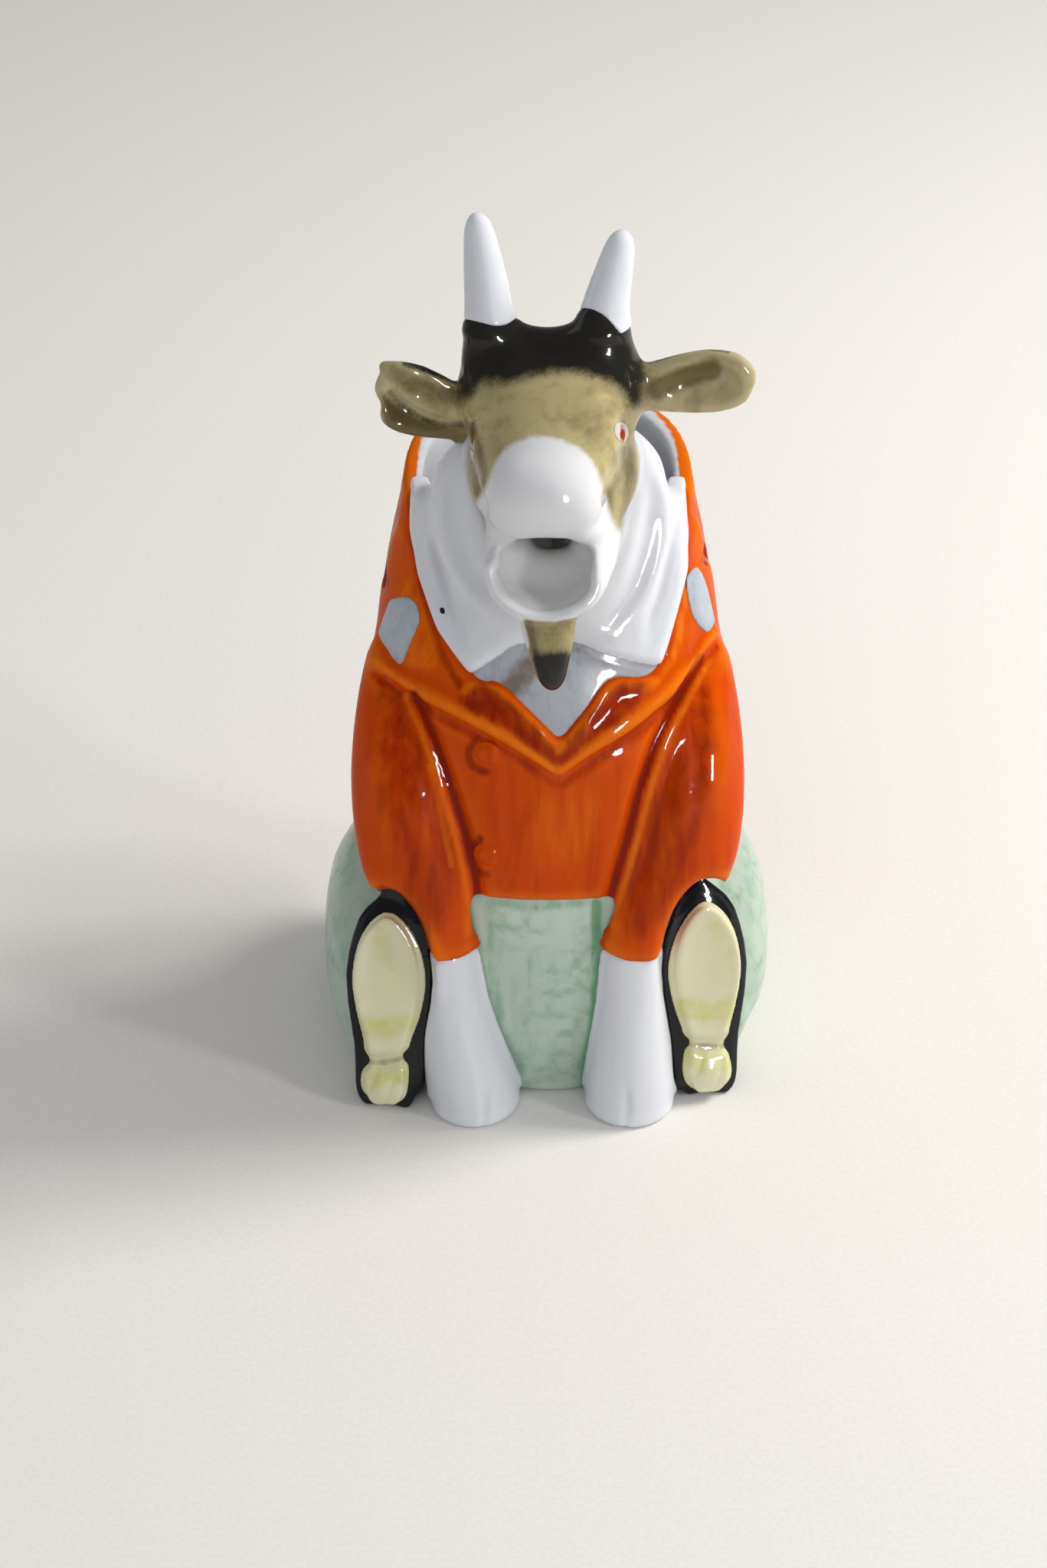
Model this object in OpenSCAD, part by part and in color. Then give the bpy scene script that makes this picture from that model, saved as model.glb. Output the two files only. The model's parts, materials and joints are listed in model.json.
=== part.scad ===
// Cream jug in the shape of a seated goat in a coat, cast in porcelain in
// separate pieces that are stuck together with slip, painted and glazed.
// The goat faces -Y and +Z is up. The origin is on the table under the middle
// of the body. Left and right are as seen from the front, so left is -X.
// Lengths are in millimetres.

/* [Body] */
// Height of the coat's rim above the table, at its sides
rim_h = 82; // [78:0.5:88]
// Outer width of the rim
rim_w = 36.8; // [34:0.2:40]
// Outer depth of the rim, front to back
rim_d = 32; // [30:0.2:36]
// How far the middle of the rim lies behind the middle of the body
rim_back = 4; // [2:0.5:6]
// Rise of the rim towards the back, per unit of depth
rim_slope = 0.28; // [0.2:0.01:0.34]
// Greatest width of the coat
coat_w = 46; // [43:0.5:50]
// Greatest depth of the coat, front to back
coat_d = 46; // [43:0.5:50]
// Height at which the coat is widest
waist_h = 45; // [42:0.5:48]
// Height of the coat's lower edge, at the middle of the body
hem_h = 29; // [27:0.5:31]
// Rise of the lower edge towards the front, per unit of depth
hem_slope = 0.17; // [0.1:0.01:0.22]
// Thickness of the cast wall
wall = 2.8; // [2.2:0.1:3.4]

/* [Seat] */
// Greatest width of the trouser seat
seat_w = 44; // [41:0.5:45]
// Greatest depth of the trouser seat
seat_d = 43; // [40:0.5:44]
// Width of the flat base
base_w = 42; // [39:0.5:43]
// Depth of the flat base
base_d = 40.4; // [38:0.2:42]
// Thickness of the base
base_h = 2.4; // [2:0.1:3]

/* [Dress] */
// Height of the lowest point of the shirt's V
vee_h = 57; // [55:0.5:59]
// Height of the collar's points
collar_h = 64.4; // [63:0.2:66]
// Height of the collar's upper corners
collar_top = 83; // [82:0.5:84]
// Height at which the two halves of the collar meet
throat_h = 72; // [71:0.5:74]
// How far the collar stands proud of the coat
collar_proud = 1.2; // [0.8:0.1:1.6]
// How far the lapels stand proud of the coat
lapel_proud = 0.9; // [0.6:0.1:1.2]
// Width of a lapel's lower corner below the V
lapel_drop = 3; // [2:0.2:4]
// Height of the flower on a lapel
flower_h = 8.8; // [7.5:0.1:10]
// Width of the flower on a lapel
flower_w = 6; // [5:0.1:7]
// How far the left collar point lies from the middle
point_left = 9.8; // [9:0.2:10.6]
// How far the right collar point lies from the middle
point_right = 14.2; // [13.4:0.2:15]
// How far the lowest point of the V lies to the right of the middle
vee_shift = 1.2; // [0:0.1:2]
// How far the buttons lie to the left of the middle
button_side = 7.9; // [7.2:0.1:8.6]
// Diameter of a coat button
button_d = 3.4; // [2.8:0.1:4]

/* [Forelegs] */
// Greatest width of a sleeve
sleeve_w = 14.4; // [13:0.2:15.5]
// Greatest depth of a sleeve
sleeve_d = 14; // [12.5:0.2:15]
// Height of the cuffs
cuff_h = 24.5; // [23:0.5:26]
// Width of a cuff
cuff_w = 10; // [9.4:0.1:11]
// Width of a foreleg just under its cuff
foreleg_w = 8.8; // [8:0.1:9.2]
// Width of a hoof on the table
hoof_w = 12.3; // [11.4:0.1:13]
// Length of a hoof on the table
hoof_l = 13.2; // [12.4:0.1:14]
// How far the tips of the hooves reach in front of the body's middle
hoof_reach = 28; // [27:0.2:29]
// Distance between the middles of the hooves
hoof_gap = 20.8; // [20:0.2:22]
// Distance between the middles of the cuffs
cuff_gap = 24.4; // [23:0.2:25.4]
// How far the hooves stand to the right of the middle
hoof_shift = 0.7; // [0:0.1:1]
// How far the cuffs hang to the left of the middle
cuff_shift = 1.3; // [0:0.1:1.6]

/* [Hind legs] */
// Width over the haunches
hips_w = 61; // [58:0.5:64]
// Height of the haunches
haunch_h = 25.5; // [24:0.5:27]
// Width of a trouser leg at the ankle
ankle_w = 12; // [11:0.2:12.6]
// Length of a shoe, from heel to toe
shoe_l = 31.6; // [30:0.2:33]
// Width of a shoe at the ball of the foot
shoe_w = 12; // [11.4:0.1:12.8]
// Depth of a shoe behind its sole
shoe_d = 8; // [7.4:0.1:9]
// How far the shoes lean back
shoe_lean = 11; // [8:0.5:14]
// How far each shoe turns outwards
shoe_splay = 9; // [6:0.5:11]
// Distance between the middles of the heels
heel_gap = 43; // [42:0.2:44.4]
// How far the left heel stands in front of the body's middle
heel_reach_left = 23.5; // [22.5:0.1:24.5]
// How far the right heel stands in front of the body's middle
heel_reach_right = 21; // [20.4:0.1:22]
// Room in front of a shoe that the sleeves and hooves leave free
shoe_room = 9; // [7:0.5:10]
// Width of a sole at the ball of the foot
sole_w = 10; // [9.2:0.1:10.6]
// Thickness of a sole
sole_t = 1.4; // [1:0.1:1.8]

/* [Head] */
// Height of the middle of the head above the table
head_h = 97; // [95:0.5:99]
// How far the middle of the head lies in front of the body's middle
head_reach = 9; // [8:0.2:10]
// How far the head sits to the right of the body's middle
head_shift = 0.5; // [0:0.1:1]
// How far the head turns to the left
head_yaw = 6; // [0:0.5:9]
// How far the head tips down to the left
head_roll = 4; // [0:0.5:6]
// Width of the head at the eyes
head_w = 21.2; // [20:0.2:22.4]
// Height of the skull
skull_h = 15.4; // [14.4:0.2:16.4]
// Thickness of the crown between the horns
crown_d = 9.6; // [8.8:0.2:10.4]
// Width of the muzzle
muzzle_w = 14.8; // [14:0.1:16]
// How far the muzzle reaches in front of the middle of the head
muzzle_reach = 20.4; // [19.6:0.1:21.4]
// How far the lower lip reaches in front of the middle of the head
lip_reach = 22.4; // [21.8:0.1:23.4]
// How far the lower jaw lies below the middle of the head
jaw_drop = 13.6; // [13:0.1:14.2]
// Width of the open mouth
mouth_w = 12.8; // [12:0.1:13.4]
// Height of the open mouth
mouth_h = 8.6; // [8:0.1:9]
// Diameter of the pouring hole at the back of the mouth
hole_d = 6.6; // [6.2:0.1:7]
// Width of the neck where it flares to the shoulders
neck_w = 30; // [28.5:0.5:31]
// Depth of the neck, front to back
neck_d = 18; // [17:0.2:19]
// Length of a horn above the middle of the head
horn_l = 24; // [22:0.5:26]
// Diameter of a horn where it leaves the crown
horn_d = 6.5; // [6:0.1:7]
// Distance between the roots of the horns
horn_gap = 13.4; // [12.4:0.2:14.4]
// Length of the right ear
ear_right_l = 15.6; // [14:0.2:17]
// Length of the left ear, which droops
ear_left_l = 11.9; // [11:0.2:13.4]
// Width of an ear
ear_w = 8.8; // [8:0.2:9.8]
// Thickness of an ear
ear_t = 3.2; // [2.6:0.1:3.8]
// Diameter of an eye
eye_d = 3.2; // [2.8:0.1:3.6]
// Length of the beard below the lower lip
beard_l = 12; // [10.5:0.5:13.5]
// Width of the beard where it leaves the chin
beard_w = 7.4; // [6.6:0.1:8.2]

/* [Handle] */
// How far the handle reaches behind the coat
handle_reach = 17; // [15.5:0.5:19]
// Height of the handle's upper root
handle_top = 71; // [69:0.5:72]
// Height of the handle's lower root
handle_foot = 37; // [35:0.5:39]
// Width of the handle across its grip
handle_w = 7; // [6:0.2:8]
// Thickness of the handle
handle_t = 5; // [4.4:0.1:5.8]

/* [Hidden] */
LEFT = -1;
RIGHT = 1;
FRONT = [0, -1, 0];
UP = [0, 0, 1];
ACROSS = [1, 0, 0];

// Roundness of the cross sections: 2 is an ellipse, more is squarer
ROUND = 2;
FULL = 2.25;
// Thickness of the slip in a joint
slip = 0.2;
// How far the end of a limb stands out
crown = 0.25;
// Larger than the jug, for cutting planes
FAR = 200;

// Colours of the glaze
PORCELAIN = "#eceef2";
ORANGE = "#dc5a12";
MINT = "#bcd2c4";
BLACK = "#22222a";
CREAM = "#e6e3ba";
TAUPE = "#97886b";
SHIRT = "#c3c9d2";
FLOWER = "#aeb7c2";

// Outline of the torso, from below the hem to above the rim: height, middle
// across, middle in depth, half width, half depth
chest_h = lerp(waist_h, rim_h, 0.38);
shoulder_h = lerp(waist_h, rim_h, 0.66);
over_rim = 14;
torso_rows = [
    [hem_h - 7, 0, 0, coat_w / 2 - 0.8, coat_d / 2 - 1.4],
    [hem_h + 2, 0, 0, coat_w / 2 - 0.3, coat_d / 2 - 0.5],
    [waist_h, 0, 0, coat_w / 2, coat_d / 2],
    [chest_h, 0, 0.05 * rim_back, lerp(coat_w, rim_w, 0.26) / 2, lerp(coat_d, rim_d, 0.17) / 2],
    [shoulder_h, 0, 0.45 * rim_back, lerp(coat_w, rim_w, 0.45) / 2, lerp(coat_d, rim_d, 0.57) / 2],
    [rim_h, 0, rim_back, rim_w / 2, rim_d / 2],
    [rim_h + over_rim, 0, rim_back, rim_w / 2, rim_d / 2]
];
// Outline of the trouser seat, from the base to above the hem
seat_rows = [
    [base_h, 0, 0, base_w / 2, base_d / 2],
    [0.42 * hem_h, 0, 0, seat_w / 2, seat_d / 2],
    [hem_h + 8, 0, 0, seat_w / 2, seat_d / 2]
];
// Outline of the hollow inside, from its floor to above the rim
floor_h = base_h + wall;
hollow_rows = [
    [floor_h, 0, 0, base_w / 2 - wall - 5, base_d / 2 - wall - 5],
    [floor_h + 3.5, 0, 0, base_w / 2 - wall - 0.6, base_d / 2 - wall - 0.6],
    [0.55 * hem_h, 0, 0, seat_w / 2 - wall, seat_d / 2 - wall],
    for (i = [2 : len(torso_rows) - 1]) inset(torso_rows[i], wall)
];

// Places worked out from the sizes
hoof_y = hoof_l / 2 - hoof_reach;
cuff_y = hoof_y + 2.2;
elbow_h = lerp(cuff_h, waist_h, 0.55);
sleeve_x = coat_w / 2 + 2.4 - sleeve_w / 2;
haunch_x = hips_w / 2 - 10.8;
jaw_z = -jaw_drop;
mouth_z = jaw_z + 1;
hole_y = 10;
crown_z = skull_h / 2 - 2;
chin_z = jaw_z - 4.6;

function lerp(a, b, t) = a + (b - a) * t;
function unit(v) = v / norm(v);
function heel_reach(side) = side == LEFT ? heel_reach_left : heel_reach_right;
function inset(row, by) = [row[0], row[1], row[2], row[3] - by, row[4] - by];

// One point of a smooth curve through b and c, with a and d as neighbours
function bend(a, b, c, d, t) =
    0.5 * (2 * b + (c - a) * t + (2 * a - 5 * b + 4 * c - d) * t * t + (3 * b - a - 3 * c + d) * t * t * t);

// Rows of numbers smoothed by a curve through them, with steps per stretch
function smooth(rows, steps) = [
    for (i = [0 : len(rows) - 2]) for (k = [0 : steps - 1])
        bend(rows[max(i - 1, 0)], rows[i], rows[i + 1], rows[min(i + 2, len(rows) - 1)], k / steps),
    rows[len(rows) - 1]
];

function power(v, p) = sign(v) * pow(abs(v), 2 / p);
function oval(k, sides, p) = [power(cos(360 * k / sides), p), power(sin(360 * k / sides), p)];
// Every other ring is turned by half a step, so that no two facets lie in one plane
function stagger(i) = i % 2 / 2;

// Solid between staggered rings of points, closed at both ends, which stand out by their crown
module skin(rings, crown) {
    n = len(rings[0]);
    last = len(rings) - 1;
    start = middle(rings[0]);
    end = middle(rings[last]);
    points = [
        for (ring = rings) each ring,
        start + crown * unit(start - middle(rings[1])),
        end + crown * unit(end - middle(rings[last - 1]))
    ];
    polyhedron(points, [
        for (i = [0 : last - 1]) for (k = [0 : n - 1])
            let (a = i * n + k, b = i * n + (k + 1) % n)
            each i % 2 == 0
                ? [[a, a + n, b], [b, a + n, b + n]]
                : [[a, a + n, b + n], [a, b + n, b]],
        for (k = [0 : n - 1]) [(last + 1) * n, k, (k + 1) % n],
        for (k = [0 : n - 1]) [(last + 1) * n + 1, last * n + (k + 1) % n, last * n + k]
    ]);
}
function middle(ring) = [for (axis = [0 : 2]) sum([for (p = ring) p[axis]]) / len(ring)];
function sum(v, i = 0) = i < len(v) ? v[i] + sum(v, i + 1) : 0;

// Upright solid of level ovals with flat ends: rows of height, middle x, middle y,
// half width, half depth
module stack(rows, sides, steps, p = FULL, grow = 0) {
    path = smooth(rows, steps);
    skin([
        for (i = [0 : len(path) - 1]) let (r = path[i]) [
            for (k = [0 : sides - 1]) let (o = oval(k + stagger(i), sides, p))
                [r[1] + (r[3] + grow) * o[0], r[2] + (r[4] + grow) * o[1], r[0]]
        ]
    ], 0);
}

// Limb of ovals square to its run, with crowned ends: rows of x, y, z, half width, half
// depth. The width lies square to the run and to the axis.
module limb(rows, sides, steps, axis = FRONT, p = ROUND) {
    path = smooth(rows, steps);
    last = len(path) - 1;
    function at(i) = [path[i][0], path[i][1], path[i][2]];
    skin([
        for (i = [0 : last])
            let (run = unit(at(min(i + 1, last)) - at(max(i - 1, 0))),
                 across = unit(cross(run, axis)),
                 deep = cross(run, across)) [
                for (k = [0 : sides - 1]) let (o = oval(k + stagger(i), sides, p))
                    at(i) + path[i][3] * o[0] * across + path[i][4] * o[1] * deep
            ]
    ], crown);
}

// Cast shape: the pieces below are cut against each other as one smooth casting
module cast() { resize([0, 0, 0]) children(); }

// Space above the table
module above_table() { translate([-FAR / 2, -FAR / 2, 0]) cube(FAR); }

// Space above the coat's lower edge, which rises to the front
module above_hem() {
    translate([0, 0, hem_h]) rotate([-atan(hem_slope), 0, 0]) above_table();
}

// Space above the rim, which rises to the back
module above_rim() {
    translate([0, rim_back, rim_h]) rotate([atan(rim_slope), 0, 0]) above_table();
}

// Prism in front of the body, from an outline of x and z
module front_zone(outline) {
    rotate([90, 0, 0]) linear_extrude(FAR / 2) polygon(outline);
}

module torso(grow = 0) { stack(torso_rows, 44, 3, FULL, grow); }
module hollow() { stack(hollow_rows, 40, 2); }

// Coat as a solid form, from hem to rim
module coat_form(grow = 0) {
    difference() {
        intersection() { torso(grow); above_hem(); }
        above_rim();
    }
}
module seat_form() {
    difference() { stack(seat_rows, 44, 3); above_hem(); }
}
// Body without its cut edges, which the limbs are fitted against
module body_block() {
    torso();
    stack([inset([-2, 0, 0, base_w / 2, base_d / 2], -slip), each seat_rows], 44, 3);
}

// Outlines of the dress, seen from the front: x and z
collar_x = rim_w / 2 - 1;
collar_left_outline = [
    [-collar_x, collar_top], [-collar_x, rim_h - 3], [-collar_x + 1, rim_h - 8],
    [-collar_x + 3.4, collar_h + 4.4], [-point_left, collar_h], [-4.8, lerp(collar_h, throat_h, 0.5)],
    [0, throat_h], [0, collar_top]
];
collar_right_outline = [
    [collar_x, collar_top], [0, collar_top], [0, throat_h], [6, lerp(collar_h, throat_h, 0.42)],
    [point_right, collar_h], [collar_x - 1, collar_h + 6], [collar_x + 0.2, rim_h - 8], [collar_x, rim_h - 3]
];
vee_outline = [
    [-point_left, collar_h], [vee_shift, vee_h], [point_right, collar_h],
    [point_right, collar_top + 1], [-point_left, collar_top + 1]
];
lapel_left_outline = [
    [-collar_x - 1, rim_h - 4], [-FAR / 4, rim_h - 8], [-FAR / 4, vee_h + 4], [-15.2, vee_h + 1],
    [-9.6, vee_h - 0.6], [0, vee_h - lapel_drop], [vee_shift, vee_h], [-point_left, collar_h],
    [-point_left, collar_h + 3], [-collar_x + 4.6, collar_h + 6], [-collar_x + 2.4, rim_h - 8]
];
lapel_right_outline = [
    [collar_x + 1, rim_h - 4], [collar_x - 1, rim_h - 8], [collar_x - 2.4, collar_h + 6],
    [point_right - 1, collar_h + 2], [point_right, collar_h], [vee_shift, vee_h],
    [0, vee_h - lapel_drop], [9, vee_h], [15.6, vee_h + 3], [FAR / 4, vee_h + 6], [FAR / 4, rim_h - 8]
];
// Front part of the body, where the dress lies
module dress_front(back = 0) { translate([-FAR / 2, -FAR + back, 0]) cube(FAR); }

// Collar half: it lies on the coat and stands up past the rim
module collar_form(outline) {
    intersection() { torso(collar_proud); front_zone(outline); }
}
module collars() {
    collar_form(collar_left_outline);
    collar_form(collar_right_outline);
}

// Lapel: a low layer on the coat beside the collar
module lapel_form(outline) {
    intersection() {
        coat_form(lapel_proud);
        front_zone(outline);
        dress_front(-1);
    }
}
module lapels() {
    lapel_form(lapel_left_outline);
    lapel_form(lapel_right_outline);
}

// Sleeve from the shoulder to the cuff
function cuff_x(side) = cuff_gap / 2 - side * cuff_shift;
module sleeve_form(side) {
    limb([
        [side * (sleeve_x - 2.4), -2.6, shoulder_h - 1, 0.30 * sleeve_w, 0.32 * sleeve_d],
        [side * (sleeve_x - 1), cuff_y + 12.6, chest_h, 0.45 * sleeve_w, 0.46 * sleeve_d],
        [side * sleeve_x, cuff_y + 6.2, waist_h + 2, sleeve_w / 2, sleeve_d / 2],
        [side * (sleeve_x - 1), cuff_y + 3, elbow_h, sleeve_w / 2, 0.46 * sleeve_d],
        [side * lerp(cuff_x(side), sleeve_x, 0.36), cuff_y + 1.7, cuff_h + 6.5,
            0.44 * sleeve_w, 0.42 * sleeve_d],
        [side * lerp(cuff_x(side), sleeve_x, 0.1), cuff_y + 0.5, cuff_h + 2.6, 0.55 * cuff_w, 0.53 * cuff_w],
        [side * cuff_x(side), cuff_y, cuff_h - 0.8, 0.52 * cuff_w, cuff_w / 2]
    ], 22, 3);
}

// Foreleg and hoof, from inside the cuff to the table
module hoof_form(side) {
    hoof_x = hoof_gap / 2 + side * hoof_shift;
    stack([
        [0, side * hoof_x, hoof_y, hoof_w / 2, hoof_l / 2],
        [2.5, side * hoof_x, hoof_y, hoof_w / 2, hoof_l / 2],
        [0.35 * cuff_h, side * lerp(hoof_x, cuff_x(side), 0.3), hoof_y + 0.7, 0.44 * hoof_w, 0.43 * hoof_l],
        [0.68 * cuff_h, side * lerp(hoof_x, cuff_x(side), 0.7), hoof_y + 1.7,
            0.53 * foreleg_w, 0.53 * foreleg_w],
        [cuff_h + 2, side * cuff_x(side), cuff_y, foreleg_w / 2, foreleg_w / 2]
    ], 22, 2, ROUND);
}

// Folded hind leg, from the haunch to the ankle
module leg_form(side) {
    mid_h = haunch_h / 2;
    ankle_y = 6.5 - heel_reach(side);
    intersection() {
        limb([
            [side * (haunch_x - 6), 21, mid_h, 6, mid_h - 5],
            [side * (haunch_x - 1.5), 14, mid_h + 0.3, 10.4, mid_h - 0.6],
            [side * haunch_x, 3, mid_h, 10.8, mid_h],
            [side * heel_gap / 2, -8, 9.6, 8.4, 9.6],
            [side * heel_gap / 2, ankle_y + 3, 8.2, ankle_w / 2, 7.6],
            [side * heel_gap / 2, ankle_y, 8, ankle_w / 2 - 0.6, 7]
        ], 24, 2, UP, FULL);
        above_table();
    }
}

// Places a shoe, which stands on its heel and leans back
module at_shoe(side) {
    translate([side * heel_gap / 2, -heel_reach(side), 0])
        rotate([-shoe_lean, 0, side * shoe_splay]) children();
}

// Shoe behind the plane of its sole, toe up: heights and half widths, then depths
shoe_rows = [
    [-1, 0.14, 0.5], [0.6, 0.29, 0.72], [3, 0.37, 0.84], [0.28 * shoe_l, 0.4, 0.95],
    [0.6 * shoe_l, 0.5, 0.9], [0.86 * shoe_l, 0.36, 0.66], [shoe_l, 0.08, 0.2]
];
shoe_mid = [1, 1, 1, 1, 0.6, 0, 0];
module shoe_form(side) {
    intersection() {
        at_shoe(side) difference() {
            limb([
                for (i = [0 : len(shoe_rows) - 1]) let (r = shoe_rows[i])
                    [0, shoe_mid[i], r[0], r[1] * shoe_w, r[2] * shoe_d]
            ], 22, 3);
            translate([-FAR / 2, -FAR, -FAR / 2]) cube(FAR);
        }
        above_table();
    }
}
// Room in front of a shoe, drawn upwards and inwards from its outline
module shoe_clear(side) {
    edge = smooth([for (r = shoe_rows) [r[1] * shoe_w + 0.25, 1.025 * r[0]]], 3);
    lean = [[1, side * 0.16, 0, 0], [0, 1, 0, 0], [0, -0.4, 1, 0], [0, 0, 0, 1]];
    at_shoe(side) multmatrix(lean) translate([0, 1, 0]) rotate([90, 0, 0])
        linear_extrude(shoe_room + 1)
            polygon([each edge, for (i = [len(edge) - 1 : -1 : 0]) [-edge[i][0], edge[i][1]]]);
}

// Outline of a sole: half widths along its length
sole_rows = [
    [0, 0.14], [0.02, 0.22], [0.06, 0.28], [0.14, 0.31], [0.27, 0.29],
    [0.42, 0.42], [0.58, 0.49], [0.73, 0.41], [0.83, 0.24], [0.88, 0.06]
];
module sole_form(side) {
    edge = smooth([for (r = sole_rows) [r[1] * sole_w, r[0] * shoe_l + 1]], 3);
    at_shoe(side) rotate([90, 0, 0]) linear_extrude(sole_t)
        polygon([each edge, for (i = [len(edge) - 1 : -1 : 0]) [-edge[i][0], edge[i][1]]]);
}

// Places what belongs to the head
module on_head() {
    translate([head_shift, -head_reach, head_h]) rotate([0, -head_roll, -head_yaw]) children();
}

// Skull and muzzle
module skull_form() {
    limb([
        [0, 9, 1, 2.5, 2.5],
        [0, 7, 1, 0.34 * head_w, 0.4 * skull_h],
        [0, 2, 1, 0.47 * head_w, 0.49 * skull_h],
        [0, -3, 0.8, head_w / 2, skull_h / 2],
        [0, -7.5, -0.8, 0.46 * head_w, 0.46 * skull_h],
        [0, -0.57 * muzzle_reach, -3, 0.55 * muzzle_w, 0.38 * skull_h],
        [0, -0.77 * muzzle_reach, -4.2, 0.5 * muzzle_w, 0.38 * skull_h],
        [0, -0.91 * muzzle_reach, -4.8, 0.42 * muzzle_w, 0.31 * skull_h],
        [0, -0.975 * muzzle_reach, -5.1, 0.27 * muzzle_w, 0.2 * skull_h],
        [0, -muzzle_reach, -5.3, 0.06 * muzzle_w, 0.05 * skull_h]
    ], 28, 2, UP, FULL);
}
// Crown, a broad roll between the horns, as wide as the head
module crown_form() {
    limb([
        [-0.48 * head_w, -1, crown_z - 1, 0.2 * crown_d, 0.2 * crown_d],
        [-0.44 * head_w, -1, crown_z - 0.8, 0.4 * crown_d, 0.4 * crown_d],
        [-0.3 * head_w, -1.2, crown_z, crown_d / 2, crown_d / 2],
        [0, -1.4, crown_z, crown_d / 2, crown_d / 2],
        [0.3 * head_w, -1.2, crown_z, crown_d / 2, crown_d / 2],
        [0.44 * head_w, -1, crown_z - 0.8, 0.4 * crown_d, 0.4 * crown_d],
        [0.48 * head_w, -1, crown_z - 1, 0.2 * crown_d, 0.2 * crown_d]
    ], 20, 2);
}
// Cheeks, which run from the sides of the head to the corners of the mouth
module cheek_form() {
    limb([
        [0, 5, -5, 0.3 * head_w, 4],
        [0, 2, -5.4, 0.43 * head_w, 6],
        [0, -3, -6.4, 0.5 * head_w, 7],
        [0, -7.5, -8, 0.47 * head_w, 6.4],
        [0, -11.5, mouth_z + 3, 0.62 * mouth_w, 5],
        [0, -15, mouth_z + 2.2, 0.55 * mouth_w, 4],
        [0, -17, mouth_z + 2, 0.4 * mouth_w, 2.6]
    ], 24, 2, UP, FULL);
}
// Lower jaw, which ends in the pouring lip
module jaw_form() {
    limb([
        [0, 1, jaw_z + 4.5, 0.4 * mouth_w, 5],
        [0, -4, jaw_z + 1.5, 0.62 * mouth_w, 6.4],
        [0, -9, jaw_z + 0.4, 0.65 * mouth_w, 6.4],
        [0, -0.68 * lip_reach, jaw_z - 0.3, 0.61 * mouth_w, 5.6],
        [0, -0.88 * lip_reach, jaw_z - 0.9, 0.53 * mouth_w, 4.4],
        [0, -lip_reach, jaw_z - 1.4, 0.3 * mouth_w, 2.4]
    ], 24, 2, UP, FULL);
}
module head_form() {
    skull_form();
    crown_form();
    cheek_form();
    jaw_form();
    horn_root(LEFT);
    horn_root(RIGHT);
}
// Scoop of the open mouth, narrowing to the pouring hole
module mouth_form() {
    limb([
        [0, -hole_y + 3, mouth_z - 0.6, hole_d / 2, hole_d / 2],
        [0, -hole_y - 1.4, mouth_z - 0.3, hole_d / 2, hole_d / 2],
        [0, -hole_y - 2.4, mouth_z, 0.33 * mouth_w, 0.42 * mouth_h],
        [0, -hole_y - 7, mouth_z, 0.47 * mouth_w, 0.49 * mouth_h],
        [0, -lip_reach - 4, mouth_z, mouth_w / 2, mouth_h / 2]
    ], 24, 2, UP);
}
// Passage from the hollow neck to the mouth
module passage_form() {
    limb([
        [0, -hole_y - 1, mouth_z - 0.5, hole_d / 2, hole_d / 2],
        [0, -hole_y + 3, mouth_z - 0.8, hole_d / 2, hole_d / 2],
        [0, -hole_y + 7, mouth_z - 1.4, hole_d / 2, hole_d / 2],
        [0, -hole_y + 15, mouth_z - 2.6, hole_d / 2, hole_d / 2]
    ], 24, 1, UP);
}

// Neck: a bell that flares from the head to the shoulders
neck_rows = [
    [lerp(collar_h, rim_h, 0.205), 0, -9.5, 0.3 * neck_w, 0.45 * neck_d],
    [lerp(collar_h, rim_h, 0.545), 0, -8.5, 0.44 * neck_w, 0.52 * neck_d],
    [lerp(collar_h, rim_h, 0.886), 0, -7, neck_w / 2, neck_d / 2],
    [lerp(rim_h, head_h, 0.2), 0, -6.6, 0.49 * neck_w, 0.44 * neck_d],
    [lerp(rim_h, head_h, 0.433), 0.3, -6.8, 0.46 * neck_w, 0.4 * neck_d],
    [lerp(rim_h, head_h, 0.633), 0.4, -7.4, 0.39 * neck_w, 0.36 * neck_d],
    [lerp(rim_h, head_h, 0.867), head_shift, -8.2, 0.26 * neck_w, 0.3 * neck_d]
];
module neck_form() { stack(neck_rows, 32, 2, ROUND); }
module neck_hollow() { stack([for (i = [1 : 5]) inset(neck_rows[i], wall)], 28, 2, ROUND); }

// Horn: its root belongs to the head's casting, and its white part is set on the root
horn_join = 11;
module horn_rows(side) {
    reach = side == LEFT ? horn_l : 0.89 * horn_l;
    lean = side == LEFT ? 1.3 : 2.8;
    root = side * horn_gap / 2;
    limb([
        [root - side * 0.4, -0.6, 4, 0.66 * horn_d, 0.66 * horn_d],
        [root, -1, horn_join, horn_d / 2, horn_d / 2],
        [root + side * 0.3 * lean, 0.6, 0.68 * reach, 0.44 * horn_d, 0.44 * horn_d],
        [root + side * 0.75 * lean, 2.6, 0.88 * reach, 0.33 * horn_d, 0.33 * horn_d],
        [root + side * 0.94 * lean, 3.4, 0.97 * reach, 0.2 * horn_d, 0.2 * horn_d],
        [root + side * lean, 3.6, reach, 0.07 * horn_d, 0.07 * horn_d]
    ], 18, 2);
}
module above_horn_join() { translate([0, 0, horn_join]) above_table(); }
module horn_root(side) { difference() { horn_rows(side); above_horn_join(); } }

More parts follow.
